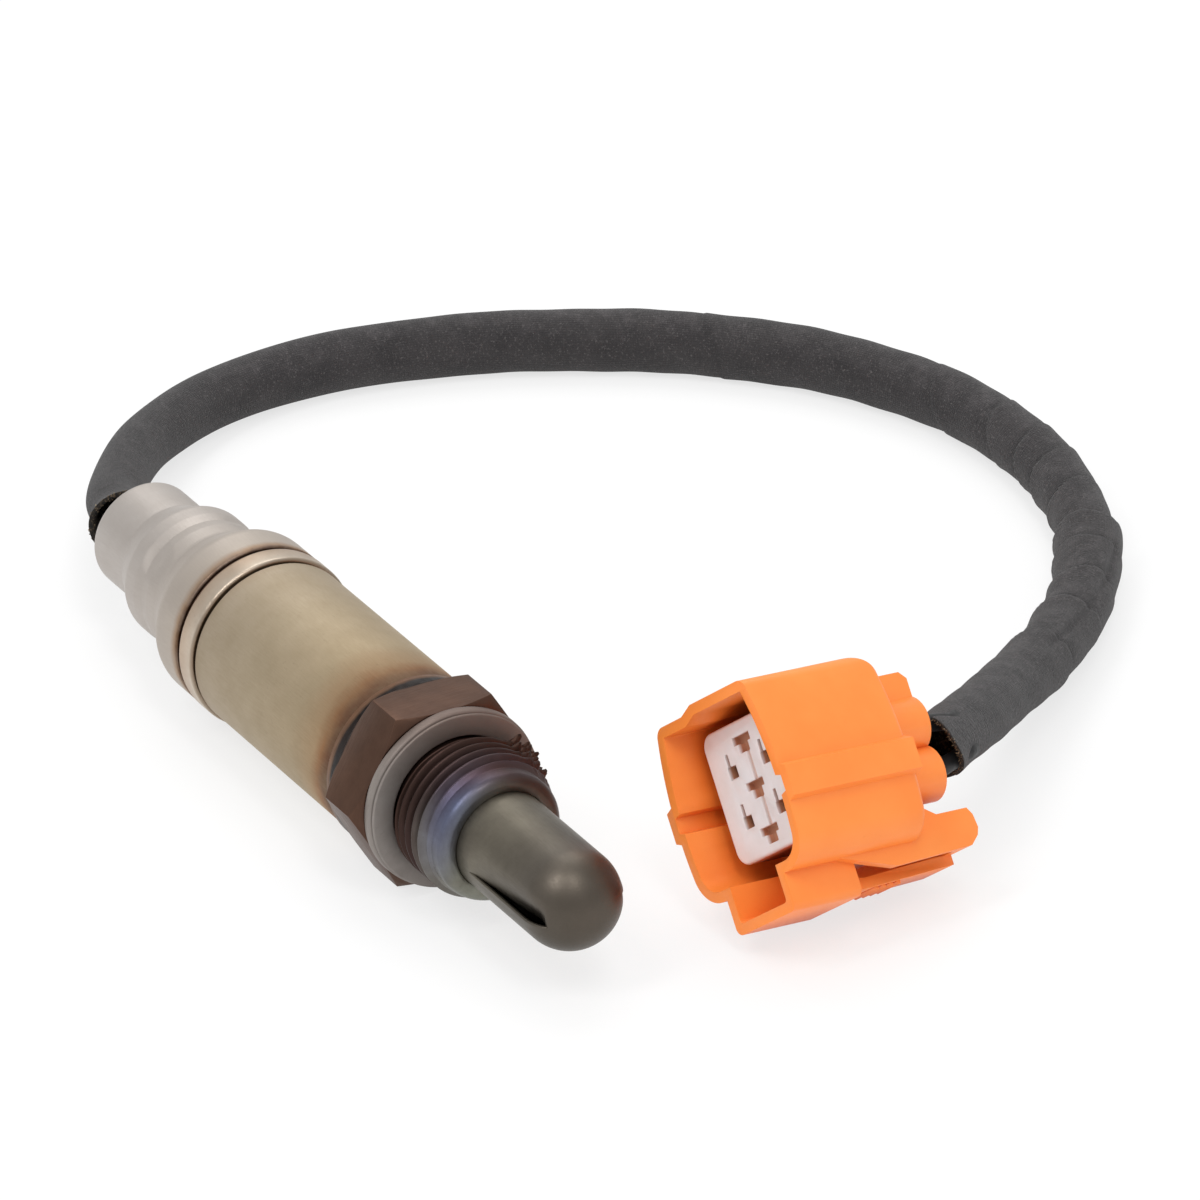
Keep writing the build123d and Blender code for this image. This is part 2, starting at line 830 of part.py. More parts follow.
# --------------------------------------------------------------------------------------
# Connector housing: shroud, latch box, guards, latch arm and wire towers, one moulding
# --------------------------------------------------------------------------------------
def shroud_section(inset):
    """The shroud's section, with bowed sides and a stepped top, moved in by inset."""
    top_half = shroud_top_width / 2
    bottom_half = shroud_bottom_width / 2
    low_top = shroud_top - step_drop
    with BuildSketch() as section:
        with BuildLine():
            Polyline(
                (top_half, shroud_top),
                (step_position, shroud_top),
                (step_position - step_run, low_top),
                (-top_half, low_top),
            )
            ThreePointArc(
                (-top_half, low_top),
                (-shroud_width / 2, shroud_widest_up),
                (-bottom_half, shroud_bottom),
            )
            Line((-bottom_half, shroud_bottom), (bottom_half, shroud_bottom))
            ThreePointArc(
                (bottom_half, shroud_bottom),
                (shroud_width / 2, shroud_widest_up),
                (top_half, shroud_top),
            )
        make_face()
        lower = section.vertices().group_by(Axis.Y)[0]
        fillet(lower, lower_corner_radius)
        upper = section.vertices().group_by(Axis.Y)[-2:]
        far = [v for group in upper for v in group if abs(v.X) > top_half - shroud_wall]
        fillet(far, corner_radius)
        if inset:
            offset(amount=-inset, mode=Mode.REPLACE)
    return section.sketch


def band_outline(side, root, stand, margin):
    """The raised band on one side of the shroud, or its groove, as a four-cornered outline."""
    base = side * (shroud_width / 2 - root)
    crown = side * (shroud_width / 2 + stand)
    upper = band_top - margin - side * band_skew
    lower = band_bottom + margin - side * band_skew
    return [
        (base, upper),
        (crown, upper - band_slope),
        (crown, lower + band_slope),
        (base, lower),
    ]


def make_housing():
    with BuildPart() as housing:
        with BuildSketch(mouth.offset(-shroud_depth)):
            add(shroud_section(0))
        extrude(amount=shroud_depth)
        back_edges = housing.faces().sort_by(plug_axis)[0].edges()
        fillet(back_edges, rear_rounding)

        middle = top_rounding * 0.5**0.5
        with BuildSketch(plug_side):
            with BuildLine():
                ThreePointArc(
                    (-shroud_depth, shroud_top - top_rounding),
                    (-shroud_depth + top_rounding - middle, shroud_top - top_rounding + middle),
                    (-shroud_depth + top_rounding, shroud_top),
                )
                Polyline(
                    (-shroud_depth + top_rounding, shroud_top),
                    (-shroud_depth + top_rounding, shroud_top + top_rounding),
                    (-shroud_depth - top_rounding, shroud_top + top_rounding),
                    (-shroud_depth - top_rounding, shroud_top - top_rounding),
                    (-shroud_depth, shroud_top - top_rounding),
                )
            make_face()
        extrude(amount=shroud_width, both=True, mode=Mode.SUBTRACT)

        with BuildSketch(mouth.offset(-shroud_depth)):
            for side in (-1, 1):
                with BuildLine():
                    Polyline(*band_outline(side, shroud_wall / 2, band_stand, 0), close=True)
                make_face()
        extrude(amount=shroud_depth)

        with BuildSketch(mouth.offset(-box_depth)):
            with Locations((0, (box_bottom + shroud_bottom + 1) / 2)):
                RectangleRounded(box_width, box_drop + 1, corner_radius * 0.7)
        extrude(amount=box_depth)

        with BuildSketch(mouth.offset(-tower_end)):
            with Locations(*cavity_spots):
                Circle(tower_radius)
            with Locations((0, cavity_centre_up)):
                Rectangle(cavity_pitch_across, cavity_pitch_up)
        extrude(amount=tower_length + rear_rounding)

        with BuildSketch(plug_side):
            with BuildLine():
                Polyline(
                    (-shroud_depth + rear_rounding, cavity_centre_up),
                    (-tower_end, cavity_centre_up),
                    (-tower_end, ledge_top - ledge_bevel),
                    (-tower_end + ledge_bevel, ledge_top),
                    (-shroud_depth + top_rounding, ledge_top),
                    close=True,
                )
            make_face()
        extrude(amount=ledge_width / 2, both=True)

        guard_profile = [
            (-guard_start, shroud_bottom + 1),
            (-guard_start, shroud_bottom),
            (-guard_full, guard_bottom),
            (-guard_end + 1.6, guard_tail_bottom),
            (-guard_end + 0.4, guard_tail_bottom + 1.0),
            (-guard_end, guard_tail_bottom + 1.9),
            (-guard_end + 0.2, guard_tail_top - 0.9),
            (-guard_end + 0.8, guard_tail_top),
            (-shroud_depth - guard_slope - 1.0, guard_tail_top),
            (-shroud_depth + rear_rounding, guard_root_top),
        ]
        for side in (-1, 1):
            middle = side * (guard_outer - guard_thickness / 2)
            with BuildSketch(plug_side.offset(-middle)):
                with BuildLine():
                    Polyline(*guard_profile, close=True)
                make_face()
            extrude(amount=guard_thickness / 2, both=True)

        with BuildSketch(plug_side):
            with BuildLine():
                Polyline(
                    (-guard_end + tab_depth, guard_tail_bottom),
                    (-guard_end + 1.6, guard_tail_bottom),
                    (-guard_end + 0.4, guard_tail_bottom + 1.0),
                    (-guard_end, guard_tail_bottom + 1.9),
                    (-guard_end + 0.2, guard_tail_top - 0.9),
                    (-guard_end + 0.8, guard_tail_top),
                    (-guard_end + tab_depth, guard_tail_top - 0.8),
                    close=True,
                )
            make_face()
        extrude(amount=guard_outer - guard_thickness / 2, both=True)

        arm_end = -guard_end + arm_setback
        with BuildSketch(plug_side):
            with BuildLine():
                Polyline(
                    (-box_depth + 0.5, arm_root_bottom),
                    (arm_end, arm_end_bottom),
                    (arm_end, guard_tail_bottom + 0.1),
                    (-guard_end + tab_depth + 1.5, guard_tail_bottom + 0.1),
                    (-box_depth - 3.0, arm_root_top - 0.6),
                    (-box_depth + 0.5, arm_root_top),
                    close=True,
                )
            make_face()
        extrude(amount=arm_width / 2, both=True)
        slope = (arm_end_bottom - arm_root_bottom) / (arm_end + box_depth - 0.5)
        for count in range(grip_rib_count):
            run = grip_rib_start + count * grip_rib_pitch
            rib_end = arm_end + run
            under = arm_end_bottom + slope * run
            with BuildSketch(plug_side):
                with BuildLine():
                    Polyline(
                        (rib_end, under + 0.3),
                        (rib_end, under - grip_rib_height),
                        (rib_end + grip_rib_pitch * 0.5, under - 0.1),
                        (rib_end + grip_rib_pitch * 0.5, under + 0.3),
                        close=True,
                    )
                make_face()
            extrude(amount=arm_width / 2 - 0.8, both=True)

        with BuildSketch(mouth.offset(-cavity_depth)):
            add(shroud_section(shroud_wall))
            for side in (-1, 1):
                with BuildLine():
                    Polyline(
                        *band_outline(
                            side,
                            2 * shroud_wall,
                            band_groove - shroud_wall,
                            band_groove_margin,
                        ),
                        close=True,
                    )
                make_face()
        extrude(amount=cavity_depth, mode=Mode.SUBTRACT)

        pocket_bottom = box_bottom + box_wall
        pocket_top = shroud_bottom + 2 * shroud_wall
        with BuildSketch(mouth.offset(-box_pocket_depth)):
            with Locations((0, (pocket_bottom + pocket_top) / 2)):
                RectangleRounded(box_width - 2 * box_wall, pocket_top - pocket_bottom, 0.5)
        extrude(amount=box_pocket_depth, mode=Mode.SUBTRACT)

        with BuildSketch(mouth.offset(-tower_end)):
            with Locations(*cavity_spots):
                Rectangle(terminal_width + 2 * terminal_gap, terminal_height + 2 * terminal_gap)
        extrude(amount=tower_end - cavity_depth + 0.01, mode=Mode.SUBTRACT)
        with BuildSketch(mouth.offset(-tower_end)):
            with Locations(*cavity_spots):
                Circle(seal_bore)
        extrude(amount=tower_end - terminal_barrel_end, mode=Mode.SUBTRACT)
    return housing


def make_retainer():
    """White front retainer: terminal entries round a middle column of windows."""
    with BuildPart() as retainer:
        with BuildSketch(mouth.offset(-retainer_back)):
            with Locations((0, retainer_centre_up)):
                RectangleRounded(retainer_width, retainer_height, retainer_corner)
        extrude(amount=retainer_back - retainer_recess)
        front_edges = retainer.faces().sort_by(plug_axis)[-1].edges()
        fillet(front_edges, 0.4)
        with BuildSketch(mouth.offset(-retainer_back)):
            with Locations(*cavity_spots):
                Rectangle(terminal_width + 2 * terminal_gap, terminal_height + 2 * terminal_gap)
        extrude(amount=retainer_back - retainer_recess - retainer_face, mode=Mode.SUBTRACT)
        with BuildSketch(mouth.offset(-retainer_back)):
            for across, up in cavity_spots:
                with Locations((across, up)):
                    Rectangle(entry_width, entry_height)
                slot_centre = up + (entry_height + entry_slot_height) / 2
                with Locations((across - entry_slot_shift, slot_centre)):
                    Rectangle(entry_slot_width, entry_slot_height)
        extrude(amount=retainer_back, mode=Mode.SUBTRACT)
        with BuildSketch(mouth.offset(-retainer_recess - window_depth)):
            for count in (-1, 0, 1):
                level = window_centre_up + count * window_pitch
                with Locations((0, level - window_height / 2)):
                    Rectangle(window_width, window_height)
                with Locations((-window_bar_shift, level + window_bar_height / 2)):
                    Rectangle(window_bar_width, window_bar_height)
        extrude(amount=window_depth + 1, mode=Mode.SUBTRACT)
        with BuildSketch(mouth.offset(-retainer_recess - window_groove_depth)):
            with Locations((window_width / 4, window_centre_up)):
                Rectangle(window_groove, 2 * window_pitch)
        extrude(amount=window_groove_depth + 1, mode=Mode.SUBTRACT)
    return retainer


def make_terminal(spot):
    """Box terminal with a crimp barrel, seated behind the retainer's front wall."""
    with BuildPart() as terminal:
        with BuildSketch(mouth.offset(-terminal_box_back)):
            with Locations(spot):
                Rectangle(terminal_width, terminal_height)
        extrude(amount=terminal_box_length)
        with BuildSketch(mouth.offset(-terminal_box_back + terminal_box_floor)):
            with Locations(spot):
                Rectangle(
                    terminal_width - 2 * terminal_wall,
                    terminal_height - 2 * terminal_wall,
                )
        extrude(amount=terminal_box_length, mode=Mode.SUBTRACT)
        with BuildSketch(mouth.offset(-terminal_barrel_end)):
            with Locations(spot):
                Circle(terminal_barrel_radius)
        extrude(amount=terminal_barrel_length + terminal_box_floor / 2)
    return terminal


def make_wire_seal(spot):
    """Ribbed rubber seal between a wire and the bore of its tower."""
    pitch = wire_seal_length / wire_seal_ribs
    outer = seal_bore - fit_gap
    with BuildPart() as seal:
        with BuildSketch(mouth.offset(-wire_seal_back)):
            with Locations(spot):
                Circle(outer - wire_seal_rib_height)
        extrude(amount=wire_seal_length)
        for count in range(wire_seal_ribs):
            start = wire_seal_front + (count + 0.25) * pitch
            with BuildSketch(mouth.offset(-start - pitch / 2)):
                with Locations(spot):
                    Circle(outer)
            extrude(amount=pitch / 2)
        with BuildSketch(mouth.offset(-wire_seal_back)):
            with Locations(spot):
                Circle(lead_radius + fit_gap / 2)
        extrude(amount=wire_seal_length, mode=Mode.SUBTRACT)
    return seal


def make_plug_wire(cavity, bundle, entry):
    """Wire from a terminal's barrel, out of its tower and into the sheath's end."""
    barrel = mouth.from_local_coords((cavity[0], cavity[1], -terminal_barrel_end))
    outside = mouth.from_local_coords((cavity[0], cavity[1], -wire_run_out))
    before = entry.from_local_coords((bundle[0], bundle[1], wire_lead_in))
    inside = entry.from_local_coords((bundle[0], bundle[1], 0))
    wire, length = swept([barrel, outside, before, inside], lead_radius, lead_radius * 1.15)
    return wire


# --------------------------------------------------------------------------------------
# Build every piece
# --------------------------------------------------------------------------------------
keep(make_shell(), "shell")
keep(make_gasket(), "gasket")
keep(make_outer_tube(), "outer_protection_tube")
keep(make_inner_tube(), "inner_protection_tube")
keep(make_element(), "zirconia_element")
keep(
    ring(seal_station, seal_rear, shoulder_bore_radius - fit_gap, element_bore_radius),
    "element_seal",
)
keep(
    ring(
        element_collar_rear,
        talc_rear,
        shoulder_bore_radius - fit_gap,
        element_rear_radius + fit_gap,
    ),
    "talc_packing",
)
keep(
    ring(talc_rear, bush_rear, packing_bore_radius - fit_gap, element_rear_radius + fit_gap),
    "ceramic_bush",
)
keep(make_press_ring(), "press_ring")
keep(
    turned(
        [
            (heater_rear, 0),
            (heater_rear, heater_radius),
            (heater_tip, heater_radius),
            (heater_tip, 0),
        ]
    ),
    "heater_rod",
)
keep(make_body_sleeve(), "body_sleeve")
keep(
    ring(collar_rear, inner_sleeve_rear, inner_sleeve_radius,
         inner_sleeve_radius - inner_sleeve_wall),
    "inner_sleeve",
)
keep(make_bead(), "retaining_bead")
keep(make_membrane(), "vent_membrane")
keep(make_cap(), "rear_cap")
keep(make_holder(), "contact_holder")
keep(make_grommet(), "grommet")
departure = Vector(*sheath_route[1]) - Vector(*sheath_route[0])
sheath_start = Plane(origin=sheath_route[0], z_dir=departure)
for number, spot in enumerate(contact_spots, start=1):
    keep(make_contact(spot), f"contact_{number}")
    keep(make_lead(spot, sheath_start), f"sensor_lead_{number}")

sheath_radii = bend_radii(sheath_route)
sheath, sheath_length = swept(sheath_route, sheath_radius, sheath_radii)
keep(sheath, "sheath")

keep(make_housing(), "connector_housing")
keep(make_retainer(), "terminal_retainer")
arrival = (Vector(*sheath_route[-1]) - Vector(*sheath_route[-2])).normalized()
entry_across = mouth.x_dir - arrival * mouth.x_dir.dot(arrival)
sheath_entry = Plane(origin=sheath_route[-1], x_dir=entry_across, z_dir=arrival)
for number, (cavity, bundle) in enumerate(zip(cavity_spots, contact_spots), start=1):
    keep(make_terminal(cavity), f"terminal_{number}")
    keep(make_wire_seal(cavity), f"wire_seal_{number}")
    keep(make_plug_wire(cavity, bundle, sheath_entry), f"plug_wire_{number}")

print("sheath radii", [round(radius, 1) for radius in sheath_radii])
print("sheath length", round(sheath_length, 1))
section = 3.141592653589793 * sheath_radius**2
print("sheath volume / (section x length)", round(sheath.part.volume / section / sheath_length, 4))
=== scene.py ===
import math
import random

import bmesh
import bpy
import numpy as np
from mathutils import Matrix, Vector


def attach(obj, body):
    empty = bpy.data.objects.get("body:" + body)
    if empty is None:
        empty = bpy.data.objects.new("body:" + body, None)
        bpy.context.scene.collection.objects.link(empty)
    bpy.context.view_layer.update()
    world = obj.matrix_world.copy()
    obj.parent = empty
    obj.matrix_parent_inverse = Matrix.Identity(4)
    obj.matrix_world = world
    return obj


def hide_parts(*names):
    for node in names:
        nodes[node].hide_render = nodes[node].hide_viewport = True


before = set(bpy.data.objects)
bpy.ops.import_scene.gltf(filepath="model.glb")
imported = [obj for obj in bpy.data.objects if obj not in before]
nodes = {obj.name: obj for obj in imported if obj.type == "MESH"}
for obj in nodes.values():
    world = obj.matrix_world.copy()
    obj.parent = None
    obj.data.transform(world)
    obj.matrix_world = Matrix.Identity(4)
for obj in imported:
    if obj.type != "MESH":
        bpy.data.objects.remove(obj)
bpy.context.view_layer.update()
scene = bpy.context.scene
MM = 0.001  # a millimetre, in metres
FLOOR = -0.0113  # height of the floor, in metres
rng = random.Random(7)

# ---------------------------------------------------------------- camera
AZIMUTH, ELEVATION = math.radians(59.9), math.radians(28.0)
DISTANCE = 1.27168  # from the camera to the point that it looks at, in metres
AIM_RIGHT, AIM_UP = 0.016532, 0.023272  # that point, across and up the picture, in metres

right = Vector((math.cos(AZIMUTH), math.sin(AZIMUTH), 0.0))
back = Vector(
    (
        math.sin(AZIMUTH) * math.cos(ELEVATION),
        -math.cos(AZIMUTH) * math.cos(ELEVATION),
        math.sin(ELEVATION),
    )
)
up = back.cross(right)
aim = right * AIM_RIGHT + up * AIM_UP
camera = bpy.data.objects.new("camera", bpy.data.cameras.new("camera"))
scene.collection.objects.link(camera)
scene.camera = camera
camera.data.sensor_width = 36.0
camera.data.lens = 330.0
camera.data.clip_start = 0.05
camera.data.clip_end = 30.0
looking = Matrix((right, up, back)).transposed().to_4x4()
camera.matrix_world = Matrix.Translation(aim + back * DISTANCE) @ looking


# ---------------------------------------------------------------- helpers for shapes
def smooth(t):
    """A soft step from 0 to 1 as t goes from 0 to 1."""
    t = np.clip(t, 0.0, 1.0)
    return t * t * (3 - 2 * t)


def full_turn(count):
    """Angles all round, a step apart, without the last one that meets the first."""
    return np.linspace(0, 2 * np.pi, count, endpoint=False)


def shade_smooth(mesh):
    for polygon in mesh.polygons:
        polygon.use_smooth = True


def mesh_object(name, verts, faces):
    """A new object in the scene, from points in metres."""
    mesh = bpy.data.meshes.new(name)
    mesh.from_pydata([tuple(v) for v in verts], [], [tuple(f) for f in faces])
    mesh.validate()
    mesh.update()
    shade_smooth(mesh)
    obj = bpy.data.objects.new(name, mesh)
    scene.collection.objects.link(obj)
    return obj


def grid_faces(rows, columns):
    """Quads of a grid of points, rows x columns, whose last column joins the first."""
    faces = []
    for i in range(rows - 1):
        for j in range(columns):
            k = (j + 1) % columns
            faces.append((i * columns + j, i * columns + k, (i + 1) * columns + k, (i + 1) * columns + j))
    return faces


def edit_mesh(piece, change):
    """Let change() work on a piece's mesh in bmesh, and keep the result."""
    work = bmesh.new()
    work.from_mesh(piece.data)
    change(work)
    work.to_mesh(piece.data)
    work.free()


WELD = 2e-6  # metres; points nearer than this are one
FLAT = math.radians(1.5)  # faces that meet at less than this are one


def copy_of(node, name, bevel, segments, sharp):
    """A node's shape as a new piece, with its flat faces whole again and its edges rounded.

    bevel is the rounding in mm, for the edges that turn by more than sharp degrees.
    """
    piece = bpy.data.objects.new(name, nodes[node].data.copy())
    scene.collection.objects.link(piece)

    def make_faces_whole(work):
        bmesh.ops.remove_doubles(work, verts=work.verts, dist=WELD)
        bmesh.ops.dissolve_limit(
            work, angle_limit=FLAT, verts=work.verts, edges=work.edges, use_dissolve_boundaries=False
        )

    edit_mesh(piece, make_faces_whole)
    shade_smooth(piece.data)
    modifier = piece.modifiers.new("edges", "BEVEL")
    modifier.width = bevel * MM
    modifier.segments = segments
    modifier.limit_method = "ANGLE"
    modifier.angle_limit = math.radians(sharp)
    modifier.harden_normals = True
    modifier.use_clamp_overlap = True
    modifier.miter_outer = "MITER_ARC"
    return piece


def ready(piece, slot, *replaced):
    """Attach a finished piece to the root body and hide the nodes that it stands for; slot is not used."""
    if replaced:
        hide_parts(*replaced)
    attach(piece, "root")


# ---------------------------------------------------------------- helpers for materials
def linear(r, g, b):
    """An 8-bit sRGB colour as linear RGBA."""
    out = []
    for v in (r, g, b):
        v /= 255.0
        out.append(v / 12.92 if v <= 0.04045 else ((v + 0.055) / 1.055) ** 2.4)
    return (*out, 1.0)


class Mat:
    """A node material with short names for the nodes that these surfaces use."""

    def __init__(self, name, **sockets):
        self.material = bpy.data.materials.new(name)
        self.material.use_nodes = True
        self.tree = self.material.node_tree
        self.shader = self.tree.nodes["Principled BSDF"]
        for socket, value in sockets.items():
            self.shader.inputs[socket].default_value = value

    def add(self, kind, inputs=None, **props):
        """A new node with these inputs and properties."""
        node = self.tree.nodes.new(kind)
        for key, value in props.items():
            setattr(node, key, value)
        for key, value in (inputs or {}).items():
            self.feed(node.inputs[key], value)
        return node

    def feed(self, socket, value):
        """Link a socket to another one, or give it a plain value."""
        if isinstance(value, bpy.types.NodeSocket):
            self.tree.links.new(value, socket)
        else:
            socket.default_value = value

    def set(self, socket, value):
        self.feed(self.shader.inputs[socket], value)

    def position(self, scale=(1, 1, 1)):
        """The point on the surface, in millimetres of the row frame."""
        where = self.add("ShaderNodeTexCoord").outputs["Object"]
        node = self.add("ShaderNodeMapping", {"Vector": where, "Scale": tuple(1000.0 * s for s in scale)})
        return node.outputs["Vector"]

    def axis(self, vector, which):
        return self.add("ShaderNodeSeparateXYZ", {"Vector": vector}).outputs[which]

    def noise(self, vector, scale, detail, rough=0.55):
        node = self.add(
            "ShaderNodeTexNoise", {"Vector": vector, "Scale": scale, "Detail": detail, "Roughness": rough}
        )
        return node.outputs["Fac"]

    def ramp(self, factor, stops):
        node = self.add("ShaderNodeValToRGB", {"Fac": factor})
        elements = node.color_ramp.elements
        while len(elements) < len(stops):
            elements.new(0.5)
        for element, (place, colour) in zip(elements, stops):
            element.position = place
            element.color = colour
        return node.outputs["Color"]

    def math(self, operation, a, b=0.0, clamp=False):
        node = self.add("ShaderNodeMath", operation=operation, use_clamp=clamp)
        self.feed(node.inputs[0], a)
        self.feed(node.inputs[1], b)
        return node.outputs[0]

    def times(self, a, b):
        return self.math("MULTIPLY", a, b)

    def plus(self, a, b):
        return self.math("ADD", a, b)

    def spread(self, value, low, high, to_low=0.0, to_high=1.0):
        node = self.add(
            "ShaderNodeMapRange",
            {"Value": value, "From Min": low, "From Max": high, "To Min": to_low, "To Max": to_high},
        )
        return node.outputs["Result"]

    def mix(self, factor, a, b):
        node = self.add("ShaderNodeMix", data_type="RGBA")
        self.feed(node.inputs["Factor"], factor)
        self.feed(node.inputs["A"], a)
        self.feed(node.inputs["B"], b)
        return node.outputs["Result"]

    def uneven_gloss(self, where, scale, detail, low, high):
        """A roughness that wanders between low and high."""
        self.set("Roughness", self.spread(self.noise(where, scale, detail), 0.3, 0.7, low, high))

    def bump(self, height, distance, strength, normal=None):
        inputs = {"Height": height, "Distance": distance, "Strength": strength}
        if normal is not None:
            inputs["Normal"] = normal
        return self.add("ShaderNodeBump", inputs).outputs["Normal"]


def paint(obj, mat):
    obj.data.materials.clear()
    obj.data.materials.append(mat.material)


def paint_nodes(mat, *names):
    """Paint solids that stay as the CAD made them."""
    for name in names:
        paint(nodes[name], mat)


def four(kind):
    """The names of the four nodes of a kind."""
    return [f"{kind}_{i}" for i in range(1, 5)]


def mottled(name, roughness, scale, first, second):
    """A plain material whose colour wanders between two."""
    mat = Mat(name, Roughness=roughness)
    mat.set("Base Color", mat.mix(mat.noise(mat.position(), scale, 4.0), first, second))
    return mat


def heat_metal(
    name,
    stops,
    low,
    high,
    *,
    cloud_colour,
    rough,
    metallic=1.0,
    bump=0.25,
    grain=(0.5, 6.0, 6.0),
    wander=2.0,
    wander_scale=0.09,
    cloud=0.3,
    speck=0.25,
    sides=(),
):
    """Turned or drawn steel whose colour runs along the sensor's axis, as heat leaves it; a caller's stops
    and sides may also hold painted shade.

    The stops go from station low to station high, in mm. Each of sides is a tint on one side of the axis:
    its angle from +Y towards +Z, the two distances that way and the two stations between which it grows
    from nothing to full, its strength and its colour.
    """
    metal = Mat(name, Metallic=metallic, Roughness=0.35)
    where = metal.position()
    x, y, z = (metal.axis(where, which) for which in "XYZ")
    shift = metal.spread(metal.noise(where, wander_scale, 4.0, 0.6), 0.25, 0.75, -wander, wander)
    tone = metal.ramp(metal.spread(metal.plus(x, shift), low, high), stops)
    for angle, start, end, first, last, most, colour in sides:
        angle = math.radians(angle)
        reach = metal.plus(metal.times(y, math.cos(angle)), metal.times(z, math.sin(angle)))
        on_side = metal.spread(metal.plus(reach, metal.times(shift, 0.5)), start, end)
        here = metal.spread(metal.plus(x, metal.times(shift, 0.35)), first, last)
        tone = metal.mix(metal.times(metal.times(on_side, here), most), tone, colour)
    clouds = metal.noise(where, 0.22, 5.0, 0.62)
    tone = metal.mix(metal.spread(clouds, 0.35, 0.7, 0.0, cloud), tone, cloud_colour)
    lines = metal.noise(metal.position(scale=grain), 1.0, 4.0, 0.6)
    specks = metal.noise(where, 2.2, 4.0, 0.7)
    tone = metal.mix(metal.spread(specks, 0.6, 0.8, 0.0, speck), tone, linear(70, 62, 55))
    metal.set("Base Color", tone)
    metal.set("Roughness", metal.spread(lines, 0.3, 0.7, *rough))
    metal.set("Normal", metal.bump(lines, 0.00003, bump, metal.bump(specks, 0.00002, 0.3)))
    return metal


# ---------------------------------------------------------------- the sheath's route
LYING = -7.3  # height of the sheath's middle where it lies on the floor, in mm
# Control points of the sheath's middle line, in mm, from the cap to the connector
ROUTE = [
    (-80.0, 0.0, 0.0),
    (-86.1, 0.4, -0.9),
    (-93.4, 4.6, -2.8),
    (-101.8, 10.6, -4.6),
    (-110.2, 18.4, -6.2),
    (-116.9, 29.0, LYING),
    (-119.6, 42.5, LYING),
    (-117.4, 58.5, LYING),
    (-111.8, 73.5, LYING),
    (-102.3, 89.5, LYING),
    (-88.0, 103.5, LYING),
    (-69.5, 111.7, LYING),
    (-50.5, 112.4, LYING),
    (-33.6, 107.8, LYING),
    (-19.2, 98.8, LYING),
    (-7.4, 87.0, -6.2),
    (2.6, 74.4, -3.6),
    (12.4, 62.9, -0.2),
    (21.55, 52.05, 3.15),
]
ROW_STEP = 0.00035  # between two rings of the sheath, in metres


def nurbs_points(points):
    """Points along the smooth line that has these points, in mm, as its control points."""
    curve = bpy.data.curves.new("route", "CURVE")
    curve.dimensions = "3D"
    curve.resolution_u = 24
    spline = curve.splines.new("NURBS")
    spline.points.add(len(points) - 1)
    for target, point in zip(spline.points, points):
        target.co = (point[0] * MM, point[1] * MM, point[2] * MM, 1.0)
    spline.order_u = 3
    spline.use_endpoint_u = True
    holder = bpy.data.objects.new("route", curve)
    mesh = bpy.data.meshes.new_from_object(holder)
    line = [tuple(vertex.co) for vertex in mesh.vertices]
    bpy.data.meshes.remove(mesh)
    bpy.data.objects.remove(holder)
    bpy.data.curves.remove(curve)
    return np.array(line)


def evenly(line, step):
    """The same line with points a step apart; returns the points and their distances along it."""
    gaps = np.linalg.norm(np.diff(line, axis=0), axis=1)
    along = np.concatenate([[0.0], np.cumsum(gaps)])
    count = max(2, int(round(along[-1] / step)) + 1)
    places = np.linspace(0.0, along[-1], count)
    return np.stack([np.interp(places, along, line[:, k]) for k in range(3)], 1), places


def directions(line):
    """Tangent, level side and upward direction at each point of a line."""
    tangent = np.gradient(line, axis=0)
    tangent /= np.linalg.norm(tangent, axis=1)[:, None]
    side = np.cross(tangent, (0.0, 0.0, 1.0))
    side /= np.linalg.norm(side, axis=1)[:, None]
    return tangent, side, np.cross(side, tangent)


line, along = evenly(nurbs_points(ROUTE), ROW_STEP)
rows = len(line)
length_mm = along[-1] / MM
print("sheath line length", round(length_mm, 2), "mm")

# ---------------------------------------------------------------- sheath
# Distance from the cap and radius there, in mm
RADII = [
    (0, 3.45), (4, 3.3), (10, 3.3), (20, 3.45), (40, 3.65), (70, 3.85), (110, 4.0), (150, 3.9), (172, 3.75),
    (184, 3.6), (192, 3.5), (200, 3.75), (210, 3.72), (220, 3.7), (230, 3.75), (242, 3.8), (255, 3.9),
    (270, 3.9),
]
# Folds like stacked cups: distance from the cap, height of the step and the length in which it dies away,
# in mm; the share of it that goes round to the outside of the bend; and the lean of its edge, in mm
FOLDS = [
    (118.0, 0.07, 7.0, 1.0, 2.0),
    (151.0, 0.10, 5.0, 0.6, 2.5),
    (163.0, 0.16, 4.5, 0.5, 2.2),
    (170.5, 0.24, 4.0, 0.4, 1.8),
    (176.5, 0.30, 4.0, 0.3, 1.6),
    (184.5, 0.32, 3.5, 0.3, 1.2),
    (193.5, 0.72, 6.0, 0.9, 0.6),
    (200.2, 0.42, 4.5, 0.25, 0.8),
    (209.2, 0.50, 4.5, 0.2, 1.2),
    (218.2, 0.50, 5.0, 0.2, 1.4),
    (230.5, 0.42, 6.0, 0.35, 1.6),
]
FOLD_GAIN = 1.3  # times the heights above
FOLD_RISE = 0.5  # mm in which a step stands up
PINCH, PINCH_LENGTH, PINCH_END = 0.55, 1.4, 0.3  # the dip before a step: share of its height, and mm
CREASE_SHADE_AT, CREASE_SHADE_BEFORE, CREASE_SHADE_AFTER = 0.25, 1.1, 0.25  # painted shade: the dark line at a step, in mm
CREASE_SHADE_GAIN = 2.6  # depth of that painted shade for each mm of the step
INSIDE_OF_BEND, LEAN_SIDE = 0.45, 0.9  # angles round the sheath
